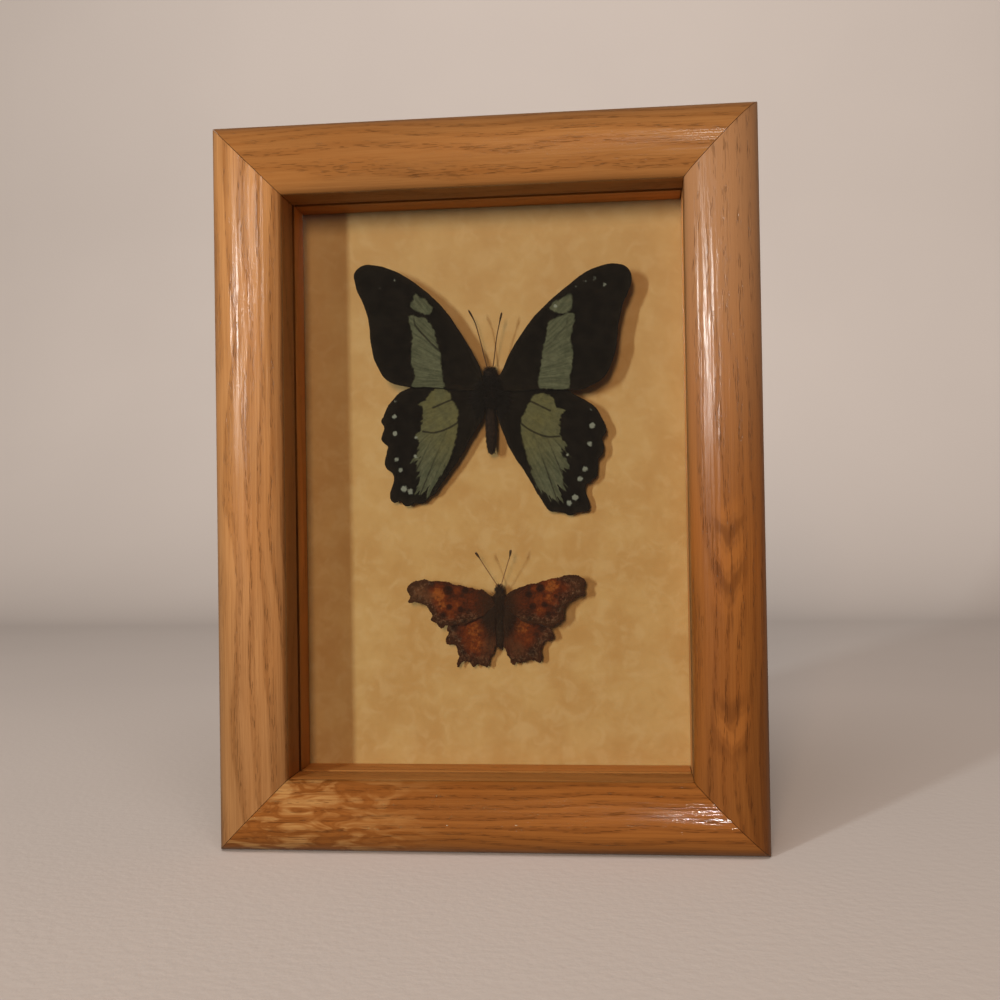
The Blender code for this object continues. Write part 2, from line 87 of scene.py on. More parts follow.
class Shader:
    """A material's node tree, with short calls for the nodes it is built from."""

    def __init__(self, name):
        self.material = bpy.data.materials.new(name)
        self.material.use_nodes = True
        self.tree = self.material.node_tree
        self.surface = self.tree.nodes["Principled BSDF"]

    def feed(self, socket, value):
        if isinstance(value, bpy.types.NodeSocket):
            self.tree.links.new(value, socket)
        elif socket.type == "RGBA":
            socket.default_value = (*value, 1)
        else:
            socket.default_value = value

    def node(self, kind, inputs=None, **settings):
        made = self.tree.nodes.new(f"ShaderNode{kind}")
        for key, value in settings.items():
            setattr(made, key, value)
        for key, value in (inputs or {}).items():
            self.feed(made.inputs[key], value)
        return made

    def set(self, **values):
        for key, value in values.items():
            self.feed(self.surface.inputs[key.replace("_", " ")], value)

    def math(self, operation, a, b=0.0, clamp=False):
        return self.node("Math", {0: a, 1: b}, operation=operation, use_clamp=clamp).outputs[0]

    def add(self, a, b):
        return self.math("ADD", a, b)

    def times(self, a, b):
        return self.math("MULTIPLY", a, b)

    def both(self, a, b):
        """Product of two masks, kept between 0 and 1."""
        return self.math("MULTIPLY", a, b, clamp=True)

    def step(self, value, low, high):
        """0 below low and 1 above high, smoothly; low may be the larger."""
        settings = {"Value": value, "From Min": low, "From Max": high}
        if low > high:
            settings = {"Value": value, "From Min": high, "From Max": low, "To Min": 1.0, "To Max": 0.0}
        return self.node("MapRange", settings, interpolation_type="SMOOTHSTEP").outputs["Result"]

    def blend(self, factor, a, b):
        made = self.node("Mix", data_type="RGBA")
        self.feed(made.inputs[0], factor)
        self.feed(made.inputs[6], a)
        self.feed(made.inputs[7], b)
        return made.outputs[2]

    def tint(self, colour, value):
        """The colour made lighter or darker by a value round 1."""
        made = self.node("HueSaturation", {"Color": colour, "Value": value})
        return made.outputs["Color"]

    def combine(self, x, y, z=0.0):
        return self.node("CombineXYZ", {0: x, 1: y, 2: z}).outputs[0]

    def separate(self, vector):
        return self.node("SeparateXYZ", {0: vector}).outputs

    def noise(self, vector, scale, detail=2.0, roughness=0.5, distortion=0.0):
        settings = {
            "Vector": vector, "Scale": scale, "Detail": detail,
            "Roughness": roughness, "Distortion": distortion,
        }
        return self.node("TexNoise", settings).outputs["Fac"]

    def millimetres(self, shift=0.0):
        """Place on the object in millimetres."""
        place = self.node("TexCoord").outputs["Object"]
        settings = {"Vector": place, "Scale": (1 / MM,) * 3, "Location": (shift, shift * 0.7, -shift)}
        return self.node("Mapping", settings).outputs[0]

    def field(self, name):
        return self.node("Attribute", attribute_name=name).outputs["Fac"]

    def bump(self, height, distance, strength=1.0, layer="Normal"):
        settings = {"Height": height, "Distance": distance * MM, "Strength": strength}
        self.feed(self.surface.inputs[layer], self.node("Bump", settings).outputs[0])


def toned(colour, *factors):
    """The colour with its channels scaled, by one factor or by three."""
    factors = factors * 3 if len(factors) == 1 else factors
    return tuple(min(1.0, c * k) for c, k in zip(colour, factors))


def plain_oak(
    name, along, light, dark, seed, ring_angle=25.0, ring_width=3.4,
    figures=(), flecks=None, coat=0.9, gloss=0.18, paler=None, shaded=None,
):
    """Oak under a coat of lacquer. along is the axis of the grain, 0 for X or 2 for Z.

    Each figure is the middle across, middle along and reach of a chevron pattern, and flecks is
    (low, high), the stretch along the grain that shows pale wavy patches. paler is painted light:
    the colour that the head of an upright fades to. shaded is the Y of a front end that is
    darkened low down by painted shade.
    """
    s = Shader(name)
    shifted = s.separate(s.millimetres(seed))
    true = s.separate(s.millimetres())
    across, depth, length = shifted[2 - along], shifted[1], shifted[along]

    def grain(fineness, stretch, detail=2.0, roughness=0.5, distortion=0.0):
        place = s.combine(across, depth, s.times(length, stretch))
        return s.noise(place, fineness, detail, roughness, distortion)

    wander = s.times(s.add(grain(0.035, 0.3, 2.0), -0.5), 16.0)
    turn = math.radians(ring_angle)
    level, deep = math.cos(turn) / ring_width, math.sin(turn) / ring_width
    ring = s.add(s.times(across, level), s.times(depth, deep))
    phase = s.math("FRACT", s.add(ring, s.times(wander, 1 / ring_width)))
    early = s.both(s.step(phase, 0.0, 0.14), s.step(phase, 0.75, 0.2))
    fibres = grain(1.7, 0.02, 3.0, 0.65)
    broad = grain(0.09, 0.12, 2.0)
    warmth = grain(0.06, 0.35, 3.0)
    pores = s.step(grain(4.6, 0.055, 1.0), 0.59, 0.69)
    pores = s.both(pores, s.add(s.times(early, 0.9), 0.1))
    dashes = s.both(s.step(grain(1.9, 0.06, 1.0), 0.65, 0.72), s.step(broad, 0.44, 0.6))
    pores = s.math("MAXIMUM", pores, s.times(s.both(dashes, s.add(early, 0.3)), 0.75))

    body = s.blend(s.add(s.times(early, 0.36), s.times(s.step(fibres, 0.3, 0.72), 0.4)), light, dark)
    body = s.blend(s.times(s.step(warmth, 0.45, 0.65), 0.3), body, toned(light, 1.0, 0.84, 0.6))
    body = s.tint(body, s.add(s.times(broad, 0.6), 0.7))
    # Painted light: the head of an upright fades to a paler colour.
    if paler:
        body = s.blend(s.times(s.step(true[2], 70.0, 185.0), 0.85), body, paler)
    # Painted shade: an upright darkens towards its foot.
    if along == 2:
        body = s.tint(body, s.add(s.times(s.step(true[2], 15.0, 150.0), 0.36), 0.78))
    for middle, height, reach in figures:
        offset = s.add(true[2 - along], -middle)
        bowl = s.math("SQRT", s.add(s.times(offset, offset), 0.5))
        rise = s.add(s.add(true[along], -height), s.times(wander, 0.25))
        ragged = s.times(s.add(grain(0.5, 0.25, 3.0), -0.5), 7.0)
        front = s.add(s.add(rise, ragged), s.times(bowl, -1.5))
        chevron = s.math("SINE", s.times(front, 6.28 / CHEVRON_PITCH))
        near = s.both(
            s.step(s.math("ABSOLUTE", s.add(true[along], -height)), reach, reach * 0.4),
            s.step(s.math("ABSOLUTE", offset), 6.5, 1.5),
        )
        mark = s.both(near, s.times(s.step(chevron, 0.25, 1.0), 0.55))
        body = s.blend(mark, body, toned(dark, 0.78))
        gleam = s.both(near, s.times(s.step(chevron, -0.1, -0.9), 0.4))
        body = s.blend(gleam, body, toned(light, 1.35))
    # Pale wavy patches with darker rims, over a stretch along the grain.
    if flecks:
        place = s.combine(s.times(across, 0.3), s.times(depth, 0.27), s.times(length, 0.1))
        wave = s.noise(place, 1.0, 3.0, 0.5, 1.1)
        start, end = flecks
        reach = s.both(s.step(true[along], start, start + 8), s.step(true[along], end, end - 52))
        silk = s.add(s.times(s.step(fibres, 0.7, 0.4), 0.6), 0.3)
        ray = s.both(s.step(wave, 0.45, 0.66), s.both(reach, silk))
        rim = s.both(s.both(s.step(wave, 0.37, 0.44), s.step(wave, 0.52, 0.46)), reach)
        body = s.blend(s.times(rim, 0.3), body, toned(dark, 0.8))
        body = s.blend(ray, body, toned(light, 1.55, 2.3, 3.9))
    colour = s.blend(s.times(pores, 0.52), body, toned(dark, 0.36))
    # Painted shade: a fillet's front end is darkened low down.
    if shaded is not None:
        end = s.both(s.step(true[1], shaded + 0.3, shaded + 0.1), s.step(true[2], 110.0, 90.0))
        colour = s.blend(end, colour, toned(dark, 0.75))
    s.set(
        Base_Color=colour,
        Roughness=s.add(s.times(pores, 0.2), s.add(s.times(fibres, 0.2), 0.38)),
        Specular_IOR_Level=0.12,
        Coat_Weight=coat,
        Coat_Roughness=gloss,
    )
    ripple = grain(0.7, 0.05, 1.6, 0.5)
    s.bump(s.add(s.times(fibres, 0.7), s.times(pores, -0.8)), 0.12, 0.9)
    lacquer = s.add(s.times(ripple, 1.7), s.add(s.times(fibres, 0.3), s.times(pores, -0.35)))
    s.bump(lacquer, 0.14, 1.0, "Coat Normal")
    return s.material


def mottled_paper():
    s = Shader("mottled_paper")
    place = s.millimetres()
    clouds = s.noise(place, 0.075, 4.0, 0.55)
    blots = s.noise(place, 0.21, 5.0, 0.6, 0.6)
    fibres = s.noise(place, 2.6, 4.0, 0.6)
    colour = s.blend(s.step(clouds, 0.32, 0.68), (0.425, 0.243, 0.083), (0.475, 0.295, 0.112))
    colour = s.blend(s.times(s.step(blots, 0.46, 0.66), 0.4), colour, (0.52, 0.35, 0.16))
    colour = s.blend(s.times(s.step(blots, 0.46, 0.3), 0.3), colour, (0.40, 0.215, 0.064))
    # Painted light: the sheet is paler towards the top.
    height = s.step(s.separate(place)[2], 70.0, 175.0)
    colour = s.blend(s.times(height, 0.3), colour, (0.45, 0.285, 0.135))
    colour = s.tint(colour, s.add(s.times(fibres, 0.14), 0.93))
    s.set(Base_Color=colour, Roughness=s.add(s.times(fibres, 0.2), 0.7))
    s.bump(s.add(fibres, s.times(blots, 1.5)), 0.05, 0.35)
    return s.material


def hardboard():
    s = Shader("pressed_hardboard")
    place = s.millimetres()
    chips = s.noise(place, 0.9, 5.0, 0.7, 1.5)
    weave = s.noise(place, 3.5, 2.0)
    colour = s.blend(s.step(chips, 0.3, 0.7), (0.13, 0.07, 0.035), (0.27, 0.165, 0.09))
    s.set(Base_Color=colour, Roughness=0.85)
    s.bump(s.add(chips, weave), 0.15, 0.5)
    return s.material


def zinc_steel(name, tone=1.0):
    s = Shader(name)
    place = s.millimetres()
    cloud = s.noise(place, 0.5, 4.0, 0.6)
    scratch = s.noise(s.node("Mapping", {"Vector": place, "Scale": (0.4, 6, 6)}).outputs[0], 1.0, 3.0)
    colour = s.blend(cloud, (0.36 * tone,) * 3, (0.66 * tone, 0.65 * tone, 0.61 * tone))
    rough = s.add(s.times(cloud, 0.25), s.add(s.times(scratch, 0.15), 0.2))
    s.set(Base_Color=colour, Metallic=1.0, Roughness=rough)
    s.bump(scratch, 0.02, 0.4)
    return s.material


def clear_glass():
    """Picture glass that lets direct light through to what lies behind it."""
    s = Shader("picture_glass")
    s.set(
        Base_Color=(0.985, 0.992, 0.988),
        Roughness=0.0,
        IOR=1.5,
        Specular_IOR_Level=0.2,
        Transmission_Weight=1.0,
    )
    clear = s.node("BsdfTransparent", {"Color": (0.97, 0.975, 0.97)}).outputs[0]
    shadow = s.node("LightPath").outputs["Is Shadow Ray"]
    mixed = s.node("MixShader", {0: shadow, 1: s.surface.outputs[0], 2: clear})
    s.tree.links.new(mixed.outputs[0], s.tree.nodes["Material Output"].inputs["Surface"])
    return s.material


def amber_glue():
    s = Shader("amber_glue")
    cloud = s.noise(s.millimetres(), 1.2, 3.0)
    colour = s.blend(cloud, (0.45, 0.30, 0.12), (0.72, 0.58, 0.33))
    s.set(Base_Color=colour, Roughness=0.22, Subsurface_Weight=0.2, Subsurface_Radius=(MM, MM, MM))
    s.bump(cloud, 0.08, 0.4)
    return s.material


# ---------------------------------------------------------------- shapes


def add_mesh(name, points, faces, matrix, *materials):
    """A smooth piece whose points are brought to the frame's metres by the matrix."""
    mesh = bpy.data.meshes.new(name)
    mesh.from_pydata(np.asarray(points, float).tolist(), [], faces)
    mesh.transform(matrix)
    mesh.shade_smooth()
    for material in materials:
        mesh.materials.append(material)
    obj = bpy.data.objects.new(name, mesh)
    bpy.context.scene.collection.objects.link(obj)
    return obj


def piece(obj, slot, *replaced):
    """The object rides on the frame and stands for the CAD nodes it hides; slot is not used."""
    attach(obj, "root")
    if replaced:
        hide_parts(*replaced)


def join(parts):
    """Points and faces of several shapes as one."""
    points, faces = [], []
    for part_points, part_faces in parts:
        start = sum(len(p) for p in points)
        points.append(np.asarray(part_points, float))
        faces += [tuple(index + start for index in face) for face in part_faces]
    return np.concatenate(points), faces


def curve_through(points, steps, closed=False):
    """Points along a smooth curve through the given ones."""
    p = np.array(points, float)
    if closed:
        p = np.concatenate([p[-1:], p, p[:2]])
    else:
        p = np.concatenate([2 * p[:1] - p[1:2], p, 2 * p[-1:] - p[-2:-1]])
    t = np.linspace(0, 1, steps, endpoint=False)[:, None]
    spans = []
    for a, b, c, d in zip(p[:-3], p[1:-2], p[2:-1], p[3:]):
        cubic = 2 * b + (c - a) * t + (2 * a - 5 * b + 4 * c - d) * t**2 + (3 * b - a - 3 * c + d) * t**3
        spans.append(cubic / 2)
    if not closed:
        spans.append(p[-2:-1])
    return np.concatenate(spans)


def even(line, spacing, closed=True):
    """The line with its points a set distance apart."""
    whole = np.concatenate([line, line[:1]]) if closed else line
    lengths = np.linalg.norm(np.diff(whole, axis=0), axis=1)
    along = np.concatenate([[0], np.cumsum(lengths)])
    count = max(4, round(along[-1] / spacing))
    marks = np.linspace(0, along[-1], count, endpoint=not closed)
    return np.stack([np.interp(marks, along, whole[:, axis]) for axis in range(whole.shape[1])], 1)


def tube(path, radii, sides=8):
    """A closed tube along a path in space."""
    path = np.array(path, float)
    tangents = np.gradient(path, axis=0)
    tangents /= np.linalg.norm(tangents, axis=1)[:, None]
    across = np.cross(tangents, (0.13, 0.31, 0.94))
    across /= np.linalg.norm(across, axis=1)[:, None]
    other = np.cross(tangents, across)
    turn = np.linspace(0, 2 * np.pi, sides, endpoint=False)
    ring = across[:, None] * np.cos(turn)[None, :, None] + other[:, None] * np.sin(turn)[None, :, None]
    points = (path[:, None] + ring * np.array(radii)[:, None, None]).reshape(-1, 3)
    points = np.concatenate([points, path[:1], path[-1:]])
    faces = []
    for i in range(len(path) - 1):
        for j in range(sides):
            k = (j + 1) % sides
            faces.append((i * sides + j, i * sides + k, (i + 1) * sides + k, (i + 1) * sides + j))
    first, last = len(points) - 2, len(points) - 1
    end = (len(path) - 1) * sides
    for j in range(sides):
        k = (j + 1) % sides
        faces += [(first, k, j), (last, end + j, end + k)]
    return points, faces


def ball(centre, radii, sides=20):
    """An ellipsoid as a tube with rounded ends."""
    angles = np.linspace(0.04, np.pi - 0.04, sides // 2 + 2)
    path = np.stack([np.zeros_like(angles), -np.cos(angles), np.zeros_like(angles)], 1)
    points, faces = tube(path, np.sin(angles), sides)
    return points * radii + centre, faces


def inside(points, loop):
    x, y = points[:, :1], points[:, 1:]
    (x1, y1), (x2, y2) = loop.T, np.roll(loop, -1, 0).T
    with np.errstate(divide="ignore", invalid="ignore"):
        crossing = ((y1 > y) != (y2 > y)) & (x < (x2 - x1) * (y - y1) / (y2 - y1) + x1)
    return crossing.sum(1) % 2 == 1


def distance(points, line, closed=False):
    """Distance of each point from a line of straight spans."""
    start = line if closed else line[:-1]
    span = (np.roll(line, -1, 0) if closed else line[1:]) - start
    square = np.maximum((span**2).sum(1), 1e-9)
    nearest = []
    for block in np.array_split(points, max(1, len(points) // 1500)):
        away = block[:, None] - start[None]
        t = np.clip((away * span).sum(2) / square, 0, 1)
        nearest.append(np.linalg.norm(away - t[..., None] * span, axis=2).min(1))
    return np.concatenate(nearest)


def signed_distance(points, loop):
    """Negative inside the loop."""
    return np.where(inside(points, loop), -1, 1) * distance(points, loop, closed=True)


# ---------------------------------------------------------------- frame

FRONT_Y = cad_box[0].y
# In millimetres.
RAIL = 20.5  # width of a rail
CREST = 9.0  # from the outer side to the crest
OUTER_SHOULDER = 7.5
INNER_SHOULDER = 4.5
SEAT = 16.0  # depth of the seat for the glass
WALL = 12.5  # from the outer side to the wall of the rebate
DEPTH = 38.0
WIDTH = 154.0
HEIGHT = 206.0
MITRE_GAP = 0.14
ARRIS = 0.5  # rounding of the sharp corners
SECTIONS = 33  # along a rail
SHARP = math.radians(30)


def arc(centre, width, depth, start, end, steps=24):
    angles = np.pi / 2 * np.linspace(start, end, steps + 1)
    return np.stack([centre[0] + width * np.cos(angles), centre[1] - depth * np.sin(angles)], 1)


def eased(points, corners, size):
    """The outline with small round arrises at the numbered corners."""
    made = []
    for i, point in enumerate(points):
        if i not in corners:
            made.append(point)
            continue
        before, after = points[i - 1] - point, points[(i + 1) % len(points)] - point
        a = point + before / np.linalg.norm(before) * size
        b = point + after / np.linalg.norm(after) * size
        for t in (0, 0.33, 0.67, 1):
            made.append(a * (1 - t) ** 2 + 2 * point * t * (1 - t) + b * t**2)
    return np.array(made)


def moulding():
    outer = arc((CREST, OUTER_SHOULDER), CREST, OUTER_SHOULDER, 2, 1)
    inner = arc((CREST, INNER_SHOULDER), RAIL - CREST, INNER_SHOULDER, 1, 0)
    corners = np.array([(RAIL, SEAT), (WALL, SEAT), (WALL, DEPTH), (0, DEPTH)])
    outline = np.concatenate([outer, inner[1:], corners])
    last = len(outline)
    return eased(outline, (last - 4, last - 2, last - 1), ARRIS)


def rail(name, length, across, turn, material, lip):
    """A rail with mitred ends and a plain inner lip; turn is its place round the frame."""
    outline = moulding()
    count = len(outline)
    reach = length / 2 - outline[:, 0] - MITRE_GAP / math.sqrt(2)
    parts = np.linspace(-1, 1, SECTIONS)
    rings = [np.stack([outline[:, 0], outline[:, 1], reach * part], 1) for part in parts]
    points = np.concatenate(rings)
    faces = [tuple(range(count))[::-1], tuple(range(len(points) - count, len(points)))]
    for ring in range(len(rings) - 1):
        for i in range(count):
            j = (i + 1) % count
            low, high = ring * count, (ring + 1) * count
            faces.append((low + i, low + j, high + j, high + i))
    matrix = (
        Matrix.Translation((0, FRONT_Y, HEIGHT / 2 * MM))
        @ Matrix.Rotation(turn, 4, "Y")
        @ Matrix.Scale(MM, 4)
        @ Matrix.Translation((-across / 2, 0, 0))
    )
    obj = add_mesh(name, points, faces, matrix, material, lip)
    beside = RAIL - 0.01
    for face in obj.data.polygons[2:]:
        edge = (face.index - 2) % count
        if outline[edge, 0] > beside and outline[(edge + 1) % count, 0] > beside:
            face.material_index = 1
    obj.data.set_sharp_from_angle(angle=SHARP)
    piece(obj, "oak", name)


GOLD = (0.47, 0.225, 0.082)
TAN = (0.355, 0.155, 0.046)
AMBER = (0.30, 0.105, 0.021)
BROWN = (0.235, 0.085, 0.02)
RUSSET = (0.16, 0.047, 0.0075)
quarter = math.pi / 2
# Painted light: the left lip's inner wall, which lies in shade, has much paler oak than the rail's face.
painted_light_lip_left = plain_oak("oak_lip_upright", 2, (0.76, 0.34, 0.115), (0.62, 0.27, 0.088), 31.0, coat=0.0)
lip_level = plain_oak("oak_lip_level", 0, (0.66, 0.28, 0.076), (0.53, 0.21, 0.054), 61.0, coat=0.0)
oak_left = plain_oak("oak_left", 2, GOLD, BROWN, 11.3, 35)
rail("rail_left", HEIGHT, WIDTH, 0, oak_left, painted_light_lip_left)
oak_right = plain_oak(
    "oak_right", 2, AMBER, RUSSET, 47.9, 15,
    figures=((66.5, 82.0, 20.0), (66.5, 36.0, 11.0)), paler=(0.345, 0.178, 0.084),
)
# Painted shade: the right lip's inner wall, which faces the side lamp, has much darker oak than the left one.
painted_shade_lip_right = plain_oak("oak_lip_right", 2, (0.30, 0.12, 0.038), (0.22, 0.085, 0.025), 77.0, coat=0.0)
rail("rail_right", HEIGHT, WIDTH, 2 * quarter, oak_right, painted_shade_lip_right)
oak_top = plain_oak("oak_top", 0, TAN, BROWN, 83.1, 40, 2.8)
rail("rail_top", WIDTH, HEIGHT, quarter, oak_top, lip_level)
oak_bottom = plain_oak(
    "oak_bottom", 0, AMBER, RUSSET, 129.7, 10, 2.6, flecks=(-84.0, -4.0), gloss=0.1
)
rail("rail_bottom", WIDTH, HEIGHT, -quarter, oak_bottom, lip_level)


def finish_node(material, *names):
    for name in names:
        for material_slot in nodes[name].material_slots:
            material_slot.material = material


fillet_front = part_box("spacer_bottom")[0].y / MM
bare = {"coat": 0.0, "shaded": fillet_front}
fillet_upright = plain_oak("oak_fillet_upright", 2, (0.74, 0.34, 0.115), (0.60, 0.27, 0.088), 5.2, **bare)
fillet_level = plain_oak("oak_fillet_level", 0, (0.62, 0.27, 0.08), (0.50, 0.205, 0.056), 17.7, **bare)
finish_node(fillet_upright, "spacer_left", "spacer_right")
finish_node(fillet_level, "spacer_top", "spacer_bottom")
finish_node(clear_glass(), "glass_pane")
finish_node(mottled_paper(), "backing_paper")
finish_node(hardboard(), "backing_board")
points = [name for name in nodes if name.startswith("glazing_point")]
finish_node(zinc_steel("zinc_points", 0.8), *points)
finish_node(zinc_steel("zinc_hanger"), "sawtooth_hanger", "hanger_nail_left", "hanger_nail_right")
finish_node(amber_glue(), "swallowtail_glue", "comma_glue")


# ---------------------------------------------------------------- insects

PAPER_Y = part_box("backing_paper")[0].y
WING_THICKNESS = 0.1


def insect_place(body, head_reach):
    """From an insect's own frame to the row's: x right, y to the head, z off the paper."""
    low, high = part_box(body)
    origin = ((low.x + high.x) / 2, PAPER_Y, high.z - head_reach * MM)
    return Matrix.Translation(origin) @ Matrix.Rotation(quarter, 4, "X")


def carry(line, before, after):
    """Moves a line by the affine map that takes three landmarks to three others."""
    square = lambda marks: np.array([(x, y, 1) for x, y in marks], float)
    matrix = np.linalg.solve(square(before), np.array(after, float))
    return np.concatenate([np.array(line, float), np.ones((len(line), 1))], 1) @ matrix


def wing_mesh(outline, spacing, ragged, rng):
    """Fine flat mesh within an outline whose edge is slightly frayed: points and triangles."""
    loop = even(curve_through(outline, 12, closed=True), spacing)
    phase = np.arange(len(loop))
    fray = np.zeros(len(loop))
    for size in (2.3, 4.1, 9.7):
        fray += np.sin(phase / size + rng.uniform(0, 6.3)) * rng.uniform(0.3, 0.6)
    fray += rng.normal(0, 0.35, len(loop))
    normal = np.gradient(loop, axis=0)[:, ::-1] * (1, -1)
    loop = loop + normal / np.linalg.norm(normal, axis=1)[:, None] * (fray * ragged)[:, None]
    low, high = loop.min(0), loop.max(0)
    rows = np.arange(low[1], high[1], spacing * 0.866)
    columns = np.arange(low[0], high[0], spacing)
    grid = np.stack(np.meshgrid(columns, rows), 2)
    grid[::2, :, 0] += spacing / 2
    grid = grid.reshape(-1, 2) + rng.uniform(-0.12, 0.12, (grid.size // 2, 2)) * spacing
    grid = grid[inside(grid, loop)]
    grid = grid[distance(grid, loop, closed=True) > spacing * 0.55]
    both = np.concatenate([loop, grid])
    edges = [(i, (i + 1) % len(loop)) for i in range(len(loop))]
    found = geometry.delaunay_2d_cdt([Vector(p) for p in both], edges, [], 1, 1e-5)
    flat = np.array([tuple(p) for p in found[0]])
    faces = [tuple(face) for face in found[2]]
    a, b, c = (flat[[face[i] for face in faces]] for i in range(3))
    if np.cross(b - a, c - a).mean() < 0:
        faces = [face[::-1] for face in faces]
    return flat, faces, loop


def add_field(obj, name, values):
    """A number for each point of the mesh, which a material can read."""
    made = obj.data.attributes.new(name, "FLOAT", "POINT")
    made.data.foreach_set("value", np.asarray(values, np.float32))


def wing(name, slot, material, place, height, pitch, rise, flat, faces, relief, fields, fans):
    """Builds a wing from its flat mesh, a relief in millimetres and named fields."""
    side = -1 if name.endswith("left") else 1
    turn = Euler((math.radians(pitch), math.radians(-side * rise), 0)).to_matrix().to_4x4()
    matrix = place @ Matrix.Translation((0, 0, height * MM)) @ turn @ Matrix.Scale(MM, 4)
    obj = add_mesh(name, np.concatenate([flat, relief[:, None]], 1), faces, matrix, material)
    for field, values in fields.items():
        add_field(obj, field, values)
    made = obj.data.attributes.new("fan", "FLOAT_VECTOR", "POINT")
    made.data.foreach_set("vector", np.asarray(fans, np.float32).ravel())
    thick = obj.modifiers.new("thickness", "SOLIDIFY")
    thick.thickness = WING_THICKNESS * MM
    thick.offset = 0
    piece(obj, slot, name)


def fan_of(flat, root):
    """Angle round the root, scaled to millimetres at mid wing, and distance from it."""
    away = flat - np.array(root)
    angle = np.arctan2(away[:, 1], np.abs(away[:, 0]))
    radius = np.linalg.norm(away, axis=1)
    return np.stack([angle * 18, radius, np.zeros(len(flat))], 1), radius


def ramp(values, low, high):
    t = np.clip((values - low) / (high - low), 0, 1)
    return t * t * (3 - 2 * t)


def dots(flat, marks):
    """Soft spots: each mark is x, y, radius and strength."""
    total = np.zeros(len(flat))
    for x, y, radius, strength in marks:
        away = np.hypot(flat[:, 0] - x, flat[:, 1] - y)
        total = np.maximum(total, strength * (1 - ramp(away / radius, 0.3, 1.35)))
    return total


